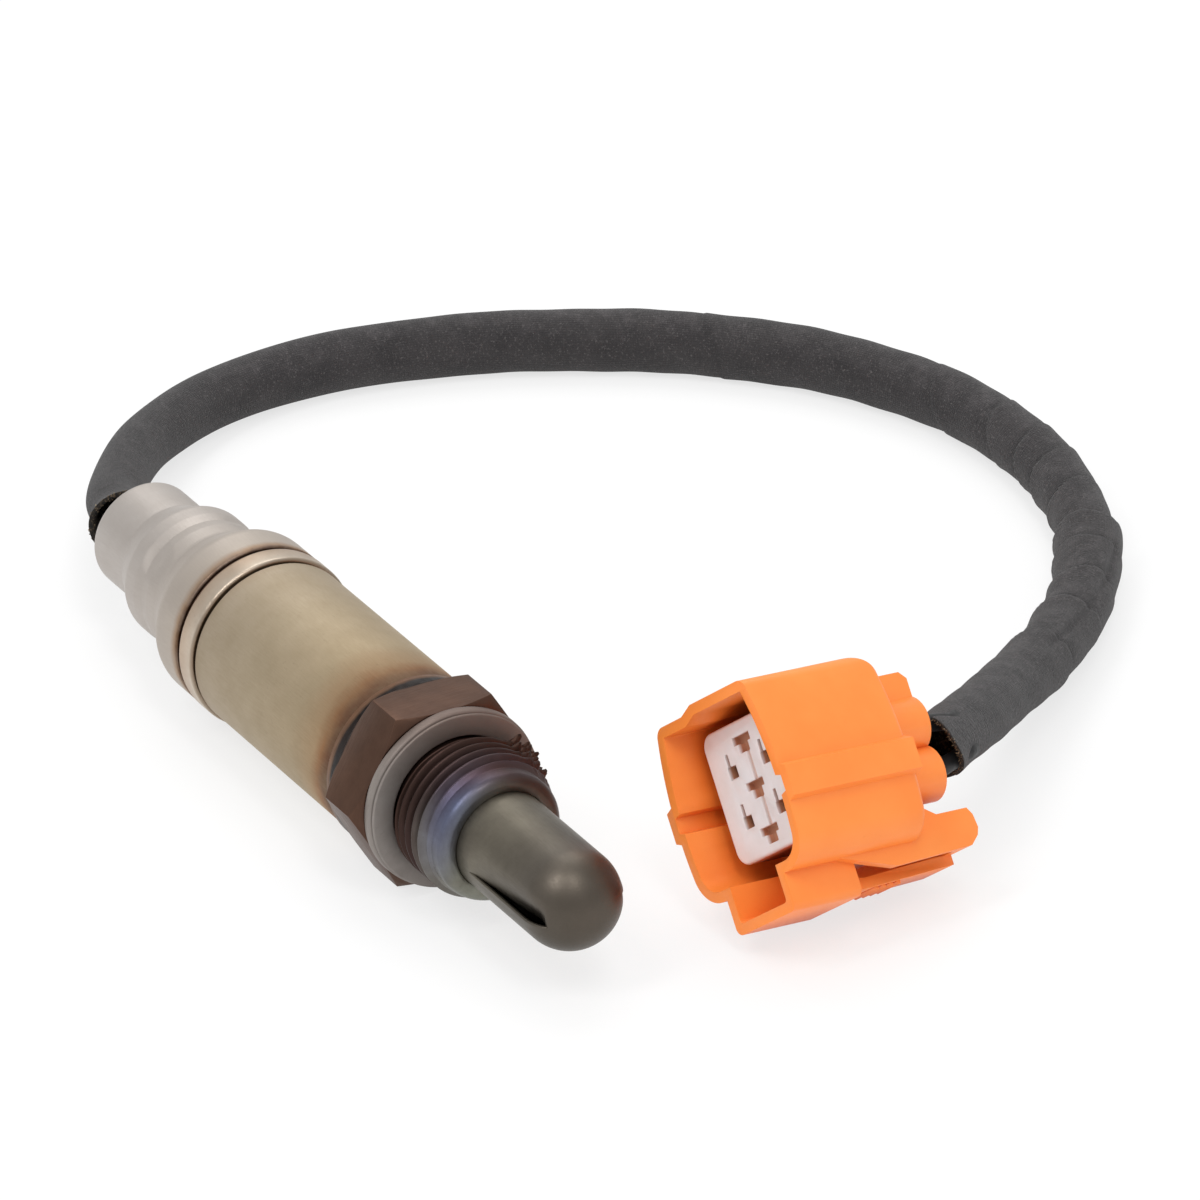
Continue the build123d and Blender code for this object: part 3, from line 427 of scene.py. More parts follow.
# One long fold on the outside of the tight bend: stations in mm from the cap; depth in mm, angle, change of
# the angle with each mm, and width as an angle
LONG_FROM, LONG_TO, LONG_MIDDLE = 197, 236, 214
LONG_DEPTH, LONG_ANGLE, LONG_TWIST, LONG_WIDTH = 0.45, 2.35, 0.012, 0.16
FLARE_LENGTH, FLARE_SIDE = 6.0, 3.05  # the widened end at the cap, in mm, and the angle where it is widest
FLARE_ALL_ROUND, FLARE_ON_SIDE, FLARE_BACK = 0.2, 1.6, 1.3  # mm that it adds, and mm that it lies back
TAIL_LENGTH, SLANT_LENGTH = 3.0, 9.0  # mm of the end at the connector that widen, and that slant
SLANT, SLANT_BACK = 4.5, -0.2  # mm that its near side stands ahead; share of that for the far side
CLEAR_OF_FLOOR = 0.00002  # metres
WALL = 0.6 * MM  # its thickness
INNER_ROWS = (0, 3, 7, 11, 15)  # rings of the outside, from an end, that the inside of the wall follows
AROUND = 96  # points round the sheath

tangent, side, upward = directions(line)
# the sheath's surface as a grid: s is the distance from the cap in mm, and a is the angle round the middle
# line, from its level side upwards
s = along[:, None] / MM
a = full_turn(AROUND)[None, :]


def towards(angle, power):
    """1 on the side of the sheath at this angle, and 0 on the other; a higher power narrows it."""
    return (0.5 + 0.5 * np.cos(a - angle)) ** power


radius = np.interp(along / MM, *zip(*RADII))[:, None] * np.ones_like(a)
crease_shade = np.zeros_like(radius)
for place, height, decay, outside, lean in FOLDS:
    weight = outside + (1 - outside) * towards(INSIDE_OF_BEND, 1.2)
    past = s - place + lean * np.sin(a - LEAN_SIDE) + 0.35 * np.sin(3 * a + place)
    step = smooth(past / FOLD_RISE) * np.exp(-np.maximum(past, 0) / decay)
    pinch = PINCH * np.exp(-np.abs(np.minimum(past, 0)) / PINCH_LENGTH) * (past < PINCH_END)
    radius = radius + FOLD_GAIN * height * weight * (step - pinch)
    off = past - CREASE_SHADE_AT
    off = np.where(past < CREASE_SHADE_AT, off / CREASE_SHADE_BEFORE, off / CREASE_SHADE_AFTER)
    crease_shade = np.maximum(crease_shade, min(1.0, height * CREASE_SHADE_GAIN) * weight * np.exp(-(off**2)))
long_fold = smooth((s - LONG_FROM) / 4) * smooth((LONG_TO - s) / 6)
long_off = (a - LONG_ANGLE + LONG_TWIST * (s - LONG_MIDDLE)) / LONG_WIDTH
radius = radius - LONG_DEPTH * long_fold * np.exp(-(long_off**2))
# soft, slow unevenness of a woven tube
radius = radius + 0.05 * np.sin(s * 0.31 + 2 * np.cos(a))
radius = radius + 0.04 * np.sin(s * 0.83 + 3 * a) * smooth((s - 60) / 60)
# the end at the cap is wider on one side, where it lies back from the cap
flare = np.clip(1 - s / FLARE_LENGTH, 0, 1) ** 1.8
lobe = towards(FLARE_SIDE, 2)
radius = radius + flare * (FLARE_ALL_ROUND + FLARE_ON_SIDE * lobe) + 0.05 * flare * np.sin(5 * a)
tail = smooth((s - (length_mm - TAIL_LENGTH)) / TAIL_LENGTH)
radius = radius + tail * (0.10 + 0.08 * np.sin(4 * a + 1.0))
outwards = side[:, None, :] * np.cos(a)[..., None] + upward[:, None, :] * np.sin(a)[..., None]
points = line[:, None, :] + outwards * (radius * MM)[..., None]
# the end at the connector is cut slanting: its side nearest to the camera reaches towards the towers
near_way = math.atan2(float(upward[-1] @ np.array(back)), float(side[-1] @ np.array(back)))
slant = smooth((s - (length_mm - SLANT_LENGTH)) / SLANT_LENGTH) * SLANT
slant = slant * np.maximum(np.cos(a - near_way), SLANT_BACK) + flare * FLARE_BACK * lobe
points = points + tangent[:, None, :] * (slant * MM)[..., None]
points[..., 2] = np.maximum(points[..., 2], FLOOR + CLEAR_OF_FLOOR)

verts = list(points.reshape(-1, 3))
faces = grid_faces(rows, AROUND)
outer_verts, outer_faces = len(verts), len(faces)
middles = points.mean(axis=1)


def turn_wall_in(inner_rows, flip):
    """Take the wall round an open end and back along its inside, and close it there."""
    before = (inner_rows[0] % rows) * AROUND
    for row in inner_rows:
        ring = points[row]
        inward = middles[row] - ring
        inward /= np.linalg.norm(inward, axis=1)[:, None]
        now = len(verts)
        verts.extend(ring + inward * WALL)
        for j in range(AROUND):
            k = (j + 1) % AROUND
            quad = (before + j, now + j, now + k, before + k)
            faces.append(quad[::-1] if flip else quad)
        before = now
    centre_point = len(verts)
    verts.append(np.array(verts[before : before + AROUND]).mean(axis=0))
    for j in range(AROUND):
        k = (j + 1) % AROUND
        triangle = (before + j, centre_point, before + k)
        faces.append(triangle[::-1] if flip else triangle)


turn_wall_in(INNER_ROWS, False)
turn_wall_in([-1 - row for row in INNER_ROWS], True)
sheath = mesh_object("woven_sheath", verts, faces)
loop_vertex = np.empty(len(sheath.data.loops), dtype=np.int64)
sheath.data.loops.foreach_get("vertex_index", loop_vertex)


def on_loops(values):
    """A value for each point of the outside, given to each corner of the mesh; the inside has 0."""
    every = np.zeros(len(verts))
    every[:outer_verts] = values
    return every[loop_vertex]


def add_uv(name, loop_u, loop_v):
    layer = sheath.data.uv_layers.new(name=name)
    layer.data.foreach_set("uv", np.stack([loop_u, loop_v], 1).ravel().astype(np.float32))


turn_share = on_loops(np.tile(np.arange(AROUND) / AROUND, rows))
starts = np.empty(len(sheath.data.polygons), dtype=np.int64)
totals = np.empty(len(sheath.data.polygons), dtype=np.int64)
sheath.data.polygons.foreach_get("loop_start", starts)
sheath.data.polygons.foreach_get("loop_total", totals)
for start, total in zip(starts, totals):
    # a face across the seam goes on past a full turn
    corners = turn_share[start : start + total]
    if corners.max() - corners.min() > 0.5:
        corners[corners < 0.5] += 1.0
add_uv("weave", on_loops(np.repeat(along / MM, AROUND)), turn_share)
add_uv("folded", on_loops(crease_shade.reshape(-1)), np.zeros(len(loop_vertex)))

STRANDS, STRANDS_PER_MM = 38.0, 1.5  # of the braid, round the sheath and along it
BLACK = linear(26, 25, 26)
weave = Mat("woven_sheath", Roughness=0.8)
map_uv = weave.add("ShaderNodeUVMap", uv_map="weave").outputs["UV"]
fold_shade = weave.axis(weave.add("ShaderNodeUVMap", uv_map="folded").outputs["UV"], "X")
along_mm = weave.axis(map_uv, "X")
turn = weave.axis(map_uv, "Y")
spot = weave.position()
wobble = weave.times(weave.noise(spot, 0.8, 3.0, 0.6), 1.3)
strand_turn, strand_along = weave.times(turn, STRANDS), weave.times(along_mm, STRANDS_PER_MM)
strand_a = weave.plus(weave.plus(strand_turn, strand_along), wobble)
strand_b = weave.math("SUBTRACT", weave.math("SUBTRACT", strand_turn, strand_along), wobble)
lean_a = weave.math("SINE", weave.times(strand_a, 2 * math.pi))
lean_b = weave.math("SINE", weave.times(strand_b, 2 * math.pi))
braid = weave.times(lean_a, lean_b)
streak_place = weave.add(
    "ShaderNodeCombineXYZ", {"X": weave.times(along_mm, 0.10), "Y": weave.times(turn, 7.0), "Z": 0.0}
)
streak = weave.noise(streak_place.outputs["Vector"], 1.0, 5.0, 0.65)
fine = weave.noise(spot, 3.4, 5.0, 0.75)
broad = weave.noise(spot, 0.13, 4.0, 0.6)
dust = weave.noise(spot, 0.45, 6.0, 0.72)
facing_up = weave.axis(weave.add("ShaderNodeNewGeometry").outputs["Normal"], "Z")
# dust, and painted light: lighter where the surface faces up
dust_and_top_light = weave.spread(dust, 0.47, 0.70, 0.0, 0.62)
dust_and_top_light = weave.times(weave.spread(facing_up, 0.35, 1.0, 0.1, 1.0), dust_and_top_light)
base = weave.mix(weave.spread(broad, 0.3, 0.7), linear(42, 40, 41), linear(54, 51, 52))
base = weave.mix(weave.spread(streak, 0.4, 0.75, 0.0, 0.45), base, linear(70, 67, 67))
base = weave.mix(dust_and_top_light, base, linear(88, 84, 85))
base = weave.mix(weave.spread(braid, -1.0, 1.0, 0.0, 0.28), base, BLACK)
base = weave.mix(weave.spread(along_mm, 8.0, 60.0, 0.40, 0.0), base, BLACK)
base = weave.mix(weave.spread(fine, 0.54, 0.78, 0.0, 0.7), base, linear(128, 123, 122))
# painted shade: near-black along the fold steps
base = weave.mix(weave.times(fold_shade, 0.85), base, linear(14, 13, 14))
weave.set("Base Color", base)
weave.set("Roughness", weave.spread(fine, 0.3, 0.7, 0.72, 0.92))
weave.set("Specular IOR Level", 0.32)
weave.set("Sheen Weight", 0.12)
relief = weave.bump(fine, 0.00014, 0.7, weave.bump(dust, 0.0004, 0.35))
weave.set("Normal", weave.bump(braid, 0.00005, 0.45, relief))
paint(sheath, weave)

lining = Mat("glass_lining", Roughness=0.85)
glass = lining.noise(lining.position(), 2.6, 6.0, 0.8)
lining_stops = [
    (0.36, linear(10, 8, 7)), (0.52, linear(34, 28, 22)), (0.62, linear(104, 88, 70)),
    (0.74, linear(168, 150, 126)),
]
lining.set("Base Color", lining.ramp(glass, lining_stops))
lining.set("Normal", lining.bump(glass, 0.0002, 0.8))
sheath.data.materials.append(lining.material)
for polygon in sheath.data.polygons[outer_faces:]:
    polygon.material_index = 1
ready(sheath, "sheath_weave", "sheath")

# ---------------------------------------------------------------- frayed ends of the sheath
FIBRES = 320  # at each end
RINGS, CORNERS = 5, 3  # a fibre is a thin prism of five triangles, one behind the other


def fibres(name, ring, middle, out, reach):
    """Loose ends of glass fibre round a cut end of the sheath; reach is the longest of them, in mm."""
    vertices, facets = [], []
    for _ in range(FIBRES):
        place = rng.random() * AROUND
        j, f = int(place) % AROUND, place % 1.0
        foot = ring[j] * (1 - f) + ring[(j + 1) % AROUND] * f
        inward = middle - foot
        inward /= np.linalg.norm(inward)
        around = np.cross(out, inward)
        foot = foot + inward * rng.uniform(0.0, 0.6) * MM - out * 0.3 * MM
        size = reach * rng.uniform(0.35, 1.0) * MM
        way = out * rng.uniform(0.35, 1.0) + inward * rng.uniform(-0.15, 0.9)
        way = way + around * rng.uniform(-1.1, 1.1)
        way /= np.linalg.norm(way)
        curl = around * rng.uniform(-0.5, 0.5) + inward * rng.uniform(-0.2, 0.5)
        across = np.cross(way, inward)
        across /= np.linalg.norm(across)
        other = np.cross(way, across)
        thick = rng.uniform(0.045, 0.10) * MM
        start = len(vertices)
        for step in range(RINGS):
            t = step / (RINGS - 1)
            centre_now = foot + way * size * t + curl * size * t * t * 0.6
            r = thick * (1 - 0.55 * t)
            for corner in range(CORNERS):
                angle = 2 * math.pi * corner / CORNERS
                vertices.append(centre_now + (across * math.cos(angle) + other * math.sin(angle)) * r)
        for step in range(RINGS - 1):
            for corner in range(CORNERS):
                p = start + step * CORNERS + corner
                q = start + step * CORNERS + (corner + 1) % CORNERS
                facets.append((p, q, q + CORNERS, p + CORNERS))
        tip = start + (RINGS - 1) * CORNERS
        facets.append((start + 2, start + 1, start))
        facets.append((tip, tip + 1, tip + 2))
    return mesh_object(name, vertices, facets)


fibre_mat = Mat("glass_fibre", Roughness=0.6)
where = fibre_mat.position()
fibre_stops = [(0.3, linear(60, 48, 36)), (0.5, linear(128, 108, 82)), (0.75, linear(196, 178, 150))]
fibre_mat.set("Base Color", fibre_mat.ramp(fibre_mat.noise(where, 3.0, 3.0), fibre_stops))
fibre_mat.uneven_gloss(where, 6.0, 2.0, 0.5, 0.75)
for name, index, outward, reach in (("fray_at_cap", 0, -1.0, 0.55), ("fray_at_plug", rows - 1, 1.0, 0.6)):
    fray = fibres(name, points[index], points[index].mean(axis=0), tangent[index] * outward, reach)
    paint(fray, fibre_mat)
    ready(fray, "sheath_weave")

# ---------------------------------------------------------------- shell with its thread
ROUND = 240  # points round the sensor's axis, for the thread and the gasket
PITCH, MAJOR, MINOR = 1.5, 9.0, 8.1  # M18 x 1.5, with its crest and its root as radii, in mm
CUT_FROM, CUT_TO, CUT_OUTSIDE = -1.25, 8.45, 8.12  # the shell's plain wall there: stations and radius, in mm
HELIX_FROM, HELIX_TO, HELIX_ROWS = -1.1, 8.5, 129  # stations of the helix in mm, and its rings
ROOT_FLAT, FLANK = 0.14, 0.72  # shares of the way from root to crest
START_AT, START_LENGTH = 0.55, 0.5  # where the crests rise from the root, behind, in mm
END_AT, END_LENGTH = 7.0, 1.3  # where they run down to it again, in front
BURR, BURR_MOST = 1.55, 1.15  # mm that torn metal stands up, and the limit of its unevenness
BURR_FROM, BURR_TO = 0.9, 8.2  # its stations, in mm
BURR_ANGLE_FROM, BURR_ANGLE_TO = 0.34, 0.98  # its angles from +Y towards +Z, in radians

shell = copy_of("shell", "threaded_shell", bevel=0.14, segments=2, sharp=20)


def open_thread_wall(work):
    """Take away the shell's plain wall, where the helix stands in its place."""
    doomed = []
    for face in work.faces:
        c = face.calc_center_median() / MM
        if CUT_FROM < c.x < CUT_TO and math.hypot(c.y, c.z) > CUT_OUTSIDE:
            doomed.append(face)
    bmesh.ops.delete(work, geom=doomed, context="FACES")


edit_mesh(shell, open_thread_wall)
turns = full_turn(ROUND)
X, A = np.meshgrid(np.linspace(HELIX_FROM, HELIX_TO, HELIX_ROWS), turns, indexing="ij")
phase = ((X - A / (2 * np.pi) * PITCH) / PITCH) % 1.0
wave = np.abs(phase - 0.5) * 2.0  # 0 in the root, 1 on the crest
ridge = np.clip((wave - ROOT_FLAT) / FLANK, 0.0, 1.0)
ridge = ridge * 0.75 + smooth(ridge) * 0.25
profile = MINOR + (MAJOR - MINOR) * ridge
limit = np.minimum(MAJOR - (X - END_AT) * (MAJOR - MINOR) / END_LENGTH, MAJOR)
limit = np.minimum(limit, MINOR + (X - START_AT) * (MAJOR - MINOR) / START_LENGTH)
thread_radius = np.clip(np.minimum(profile, limit), MINOR, MAJOR)
# torn metal stands up from the crests on one side
rough_edge = 0.5 + 0.5 * np.sin(X * 4.1 + 1.3) * np.sin(A * 37.0 + X * 2.3)
rough_edge = rough_edge + 0.35 * np.sin(X * 9.7 + A * 61.0)
patch = smooth((X - BURR_FROM) / 0.5) * smooth((BURR_TO - X) / 2.6)
patch = patch * smooth((A - BURR_ANGLE_FROM) / 0.16) * smooth((BURR_ANGLE_TO - A) / 0.22)
fade = 1.0 - 0.55 * smooth((X - 2.4) / 3.2)
burr = BURR * patch * fade * np.clip(rough_edge, 0.0, BURR_MOST) * (0.35 + 0.65 * ridge)
thread_radius = thread_radius + burr
thread_verts = np.stack([X, thread_radius * np.cos(A), thread_radius * np.sin(A)], -1).reshape(-1, 3) * MM
thread = mesh_object("thread_helix", thread_verts, grid_faces(HELIX_ROWS, ROUND))
for polygon in thread.data.polygons:
    polygon.flip()

shell_mat = heat_metal(
    "shell_brown",
    [
        (0.0, linear(126, 92, 68)),
        (0.045, linear(132, 98, 74)),
        # painted shade: the nearly black band on the collar just behind the hex, seen in the gap at the
        # middle of each flat
        (0.070, linear(16, 10, 8)),
        (0.118, linear(12, 8, 7)),
        (0.128, linear(100, 74, 60)),
        (0.40, linear(96, 72, 60)),
        (0.52, linear(70, 52, 46)),
        (0.72, linear(66, 52, 50)),
        (0.83, linear(82, 70, 74)),
        (0.90, linear(104, 92, 116)),
        (0.955, linear(104, 112, 134)),
        (1.0, linear(134, 136, 124)),
    ],
    -12.0,
    10.8,
    cloud_colour=linear(62, 46, 38),
    cloud=0.4,
    wander=0.12,
    wander_scale=0.5,
    rough=(0.34, 0.52),
    grain=(6.0, 0.4, 0.4),
    speck=0.4,
    sides=(
        (215, 1.0, 6.5, 4.5, 8.5, 0.85, linear(142, 142, 130)),
        (150, 3.5, 8.0, 6.2, 8.6, 0.75, linear(98, 104, 132)),
        (60, 2.0, 7.5, 6.0, 8.0, 0.88, linear(74, 54, 48)),
        (0, 4.0, 8.5, -1.0, 1.0, 0.8, linear(78, 56, 46)),
    ),
)
paint(shell, shell_mat)
paint(thread, shell_mat)
ready(shell, "shell_steel", "shell")
ready(thread, "shell_steel", "shell")

# ---------------------------------------------------------------- gasket
# Section of the crushed ring, x and radius in mm: flat face, two rolled edges and the bore
RING = [
    (-0.13, 8.35), (-0.10, 8.50), (-0.10, 10.85), (-0.13, 10.98), (-0.22, 11.05), (-0.36, 11.05),
    (-0.46, 10.94), (-0.50, 10.66), (-0.60, 10.66), (-0.64, 10.98), (-0.72, 11.16), (-0.92, 11.25),
    (-1.60, 11.28), (-1.90, 11.18), (-2.06, 10.90), (-2.09, 10.50), (-2.09, 8.60), (-1.9, 8.30), (-0.4, 8.30),
]
UNEVEN_OUTSIDE = 10.7  # radius beyond which the edges aren't quite round, in mm

ring_verts = []
for x, r in RING:
    uneven = 0.03 * np.sin(3 * turns + x) + 0.02 * np.sin(7 * turns + 2)
    rim = r + uneven * (r > UNEVEN_OUTSIDE)
    ring_verts += list(np.stack([np.full_like(turns, x), rim * np.cos(turns), rim * np.sin(turns)], 1) * MM)
ring_faces = grid_faces(len(RING), ROUND)
last_row = (len(RING) - 1) * ROUND
for j in range(ROUND):
    k = (j + 1) % ROUND
    ring_faces.append((last_row + j, last_row + k, k, j))
crush_ring = mesh_object("crush_ring", ring_verts, ring_faces)
edit_mesh(crush_ring, lambda work: bmesh.ops.recalc_face_normals(work, faces=work.faces))
gasket_mat = heat_metal(
    "gasket_grey",
    [(0.0, linear(146, 138, 132)), (0.6, linear(144, 137, 132)), (1.0, linear(152, 145, 140))],
    -2.0,
    0.2,
    cloud_colour=linear(104, 92, 86),
    cloud=0.3,
    rough=(0.5, 0.62),
    metallic=0.6,
    grain=(6.0, 0.5, 0.5),
    sides=((70, 1.0, 10.0, -3.0, -2.5, 0.7, linear(112, 90, 80)),),
)
paint(crush_ring, gasket_mat)
ready(crush_ring, "gasket_steel", "gasket")

# ---------------------------------------------------------------- sleeve, bead and cap
sleeve_mat = heat_metal(
    "sleeve_straw",
    [
        (0.0, linear(176, 160, 140)),
        (0.05, linear(180, 166, 146)),
        (0.40, linear(182, 167, 143)),
        (0.72, linear(180, 163, 136)),
        (0.85, linear(178, 152, 120)),
        (0.905, linear(158, 118, 84)),
        (0.95, linear(116, 82, 62)),
        (1.0, linear(86, 60, 48)),
    ],
    -44.5,
    -11.2,
    cloud_colour=linear(156, 140, 112),
    cloud=0.35,
    wander=1.3,
    rough=(0.54, 0.68),
    speck=0.22,
    sides=((95, 5.0, 11.0, -21.0, -12.5, 0.6, linear(108, 82, 64)),),
)
paint_nodes(sleeve_mat, "body_sleeve")

bead_mat = heat_metal(
    "bead_beige",
    [
        (0.0, linear(96, 70, 48)), (0.12, linear(188, 168, 148)), (0.5, linear(200, 184, 166)),
        (0.86, linear(208, 196, 180)), (1.0, linear(104, 84, 64)),
    ],
    -47.75,
    -44.5,
    cloud_colour=linear(156, 130, 106),
    cloud=0.4,
    wander=0.05,
    rough=(0.32, 0.46),
)
paint_nodes(bead_mat, "retaining_bead")

cap_mat = heat_metal(
    "cap_satin",
    [
        (0.0, linear(194, 188, 183)), (0.5, linear(192, 185, 179)), (0.82, linear(190, 181, 172)),
        (0.945, linear(190, 180, 169)), (0.978, linear(166, 138, 112)), (1.0, linear(74, 46, 28)),
    ],
    -79.5,
    -48.15,
    cloud_colour=linear(174, 165, 157),
    cloud=0.35,
    wander=0.25,
    wander_scale=0.3,
    rough=(0.46, 0.6),
    speck=0.12,
    bump=0.4,
)
# Shallow dents of the crimping jaws, four round the cap; in mm, with the first one's angle in degrees
DENT_X, DENT_RADIUS, DENT_TURN = -60.8, 8.6, 142
DENT_FLOOR, DENT_EDGE = 0.8, 3.0  # distances from a dent's middle, in mm
where = cap_mat.position()
dent = 1.0
for turn_round in (0.0, 90.0, 180.0, 270.0):
    way = math.radians(turn_round + DENT_TURN)
    middle = (DENT_X, DENT_RADIUS * math.cos(way), DENT_RADIUS * math.sin(way))
    away = cap_mat.add("ShaderNodeVectorMath", {0: where, 1: middle}, operation="DISTANCE").outputs["Value"]
    edges = {"Value": away, "From Min": DENT_FLOOR, "From Max": DENT_EDGE}
    one = cap_mat.add("ShaderNodeMapRange", edges, interpolation_type="SMOOTHSTEP").outputs["Result"]
    dent = cap_mat.times(dent, one)
last_bump = cap_mat.shader.inputs["Normal"].links[0].from_socket
cap_mat.set("Normal", cap_mat.bump(dent, 0.0007, 0.55, last_bump))
paint_nodes(cap_mat, "rear_cap")

# ---------------------------------------------------------------- outer tube
# Drawn tube with two long louvres, made as two halves that meet; stations and radii in mm
TUBE_R, TUBE_FROM, DOME_X, TUBE_WALL = 6.15, 9.9, 26.0, 0.38
TUBE_ROWS, DOME_ROWS = 116, 36  # rings of the straight part and of the dome, with both its ends
LOUVRE_X = [13.6, 15.0, 19.0, 22.0, 24.5, 26.8, 28.2, 29.0, 29.5]
LOUVRE_DEPTH = [0.0, 0.26, 0.66, 0.90, 1.15, 1.42, 1.25, 0.7, 0.0]
LIP = -10.0  # angle of a louvre's lip from -Y towards +Z, in degrees
PRESS_FROM, PRESS_LENGTH = 142.0, 38.0  # degrees from a lip to where the wall goes in for the next louvre
LIFT, LIFT_DEPTH, LIFT_LENGTH = 0.05, 0.4, 7.0  # the lip's rise, the depth that gives all of it, its degrees
HALF = 120  # steps in half a turn
SEAM = 1.5e-5  # metres; points of the two halves nearer than this are one

tube_rows = [(x, TUBE_R, 0.0) for x in np.linspace(TUBE_FROM, DOME_X, TUBE_ROWS)]
for angle in np.linspace(0, math.pi / 2, DOME_ROWS)[1:-1]:
    tube_rows.append((DOME_X + TUBE_R * math.sin(angle), TUBE_R * math.cos(angle), angle))
columns = HALF + 1
half_points = len(tube_rows) * columns
tube_verts, tube_faces = [], []
for half in range(2):
    for x, r, angle in tube_rows:
        depth = float(np.interp(x, LOUVRE_X, LOUVRE_DEPTH))
        for j in range(columns):
            t = 180.0 * j / HALF
            press = depth * float(smooth((t - PRESS_FROM) / PRESS_LENGTH)) ** 1.15
            lift = LIFT * min(1.0, depth / LIFT_DEPTH) * max(0.0, 1 - t / LIFT_LENGTH)
            phi = math.radians(LIP - t + 180.0 * half)
            flat = math.cos(angle)
            out = np.array((math.sin(angle), -math.cos(phi) * flat, math.sin(phi) * flat))
            point = np.array((x, -r * math.cos(phi), r * math.sin(phi))) - out * (press - lift)
            tube_verts.append(point * MM)
    for i in range(len(tube_rows) - 1):
        for j in range(HALF):
            p = half * half_points + i * columns + j
            tube_faces.append((p, p + 1, p + columns + 1, p + columns))
pole = len(tube_verts)
tube_verts.append(np.array((DOME_X + TUBE_R, 0, 0)) * MM)
for half in range(2):
    last_ring = (half + 1) * half_points - columns
    for j in range(HALF):
        tube_faces.append((last_ring + j, last_ring + j + 1, pole))
drawn = mesh_object("drawn_tube", tube_verts, tube_faces)


def join_halves(work):
    """Make one tube of the two halves, with faces that look away from the axis."""
    bmesh.ops.remove_doubles(work, verts=work.verts, dist=SEAM)
    work.faces.ensure_lookup_table()
    some = work.faces[len(work.faces) // 4]
    c = some.calc_center_median()
    if some.normal.dot(Vector((0, c.y, c.z))) < 0:
        bmesh.ops.reverse_faces(work, faces=work.faces)


edit_mesh(drawn, join_halves)
thicken = drawn.modifiers.new("wall", "SOLIDIFY")
thicken.thickness = TUBE_WALL * MM
thicken.offset = -1.0
tube_mat = heat_metal(
    "tube_dark",
    [
        (0.0, linear(130, 124, 111)), (0.3, linear(118, 112, 100)), (0.7, linear(102, 96, 88)),
        (1.0, linear(96, 88, 80)),
    ],
    10.5,
    32.0,
    cloud_colour=linear(84, 78, 70),
    cloud=0.5,
    wander=1.0,
    rough=(0.38, 0.5),
    sides=(
        (20, 1.5, 6.5, 22.0, 29.0, 0.75, linear(104, 66, 48)),
        # painted shade: darker on the tube's underside
        (235, 1.0, 7.0, 0.0, 1.0, 0.3, linear(84, 82, 76)),
    ),
)
paint(drawn, tube_mat)
ready(drawn, "tube_steel", "outer_protection_tube")

# ---------------------------------------------------------------- inner pieces
inner_mat = heat_metal(
    "inner_tube",
    [(0.0, linear(90, 84, 78)), (1.0, linear(86, 80, 74))],
    9.0,
    27.0,
    cloud_colour=linear(50, 44, 40),
    rough=(0.4, 0.55),
)
paint_nodes(inner_mat, "inner_protection_tube", "inner_sleeve", "press_ring", "element_seal")
membrane_mat = mottled("membrane_brown", 0.7, 0.5, linear(52, 30, 14), linear(78, 46, 22))
paint_nodes(membrane_mat, "vent_membrane")
ceramic_mat = mottled("ceramic", 0.6, 0.6, linear(222, 216, 204), linear(206, 198, 184))
paint_nodes(ceramic_mat, "zirconia_element", "talc_packing", "ceramic_bush", "heater_rod", "contact_holder")
rubber_mat = mottled("black_rubber", 0.55, 0.9, linear(14, 14, 15), linear(30, 29, 30))
rubber_mat.uneven_gloss(rubber_mat.position(), 2.0, 3.0, 0.45, 0.65)
paint_nodes(rubber_mat, "grommet", *four("sensor_lead"), *four("plug_wire"))
seal_mat = mottled("red_seal", 0.5, 0.9, linear(96, 40, 28), linear(120, 52, 36))
paint_nodes(seal_mat, *four("wire_seal"))
contact_mat = heat_metal(
    "contact_metal",
    [(0.0, linear(206, 196, 170)), (1.0, linear(206, 196, 170))],
    -60.0,
    40.0,
    cloud_colour=linear(160, 140, 110),
    rough=(0.28, 0.4),
)
paint_nodes(contact_mat, *four("contact"), *four("terminal"))

# ---------------------------------------------------------------- connector
housing = copy_of("connector_housing", "housing", bevel=0.35, segments=3, sharp=30)
orange = Mat("orange_plastic", Roughness=0.42)
where = orange.position()
clouds = orange.spread(orange.noise(where, 0.12, 3.0), 0.35, 0.65)
tone = orange.mix(clouds, linear(255, 145, 62), linear(252, 138, 55))
dirt = orange.spread(orange.noise(where, 1.4, 5.0, 0.7), 0.62, 0.85, 0.0, 0.25)
tone = orange.mix(dirt, tone, linear(214, 104, 34))
# painted shade: the colour is deeper and darker in hollows, where ambient occlusion finds them; the reach is
# in metres
occlusion_shade = orange.add("ShaderNodeAmbientOcclusion", {"Distance": 0.009}, samples=8)
tone = orange.mix(orange.spread(occlusion_shade.outputs["AO"], 0.62, 0.18, 0.0, 0.85), tone, linear(226, 98, 26))
orange.set("Base Color", tone)
orange.uneven_gloss(where, 2.5, 3.0, 0.38, 0.5)
orange.set("Normal", orange.bump(orange.noise(where, 4.0, 3.0), 0.00002, 0.35))
paint(housing, orange)
ready(housing, "housing_plastic", "connector_housing")

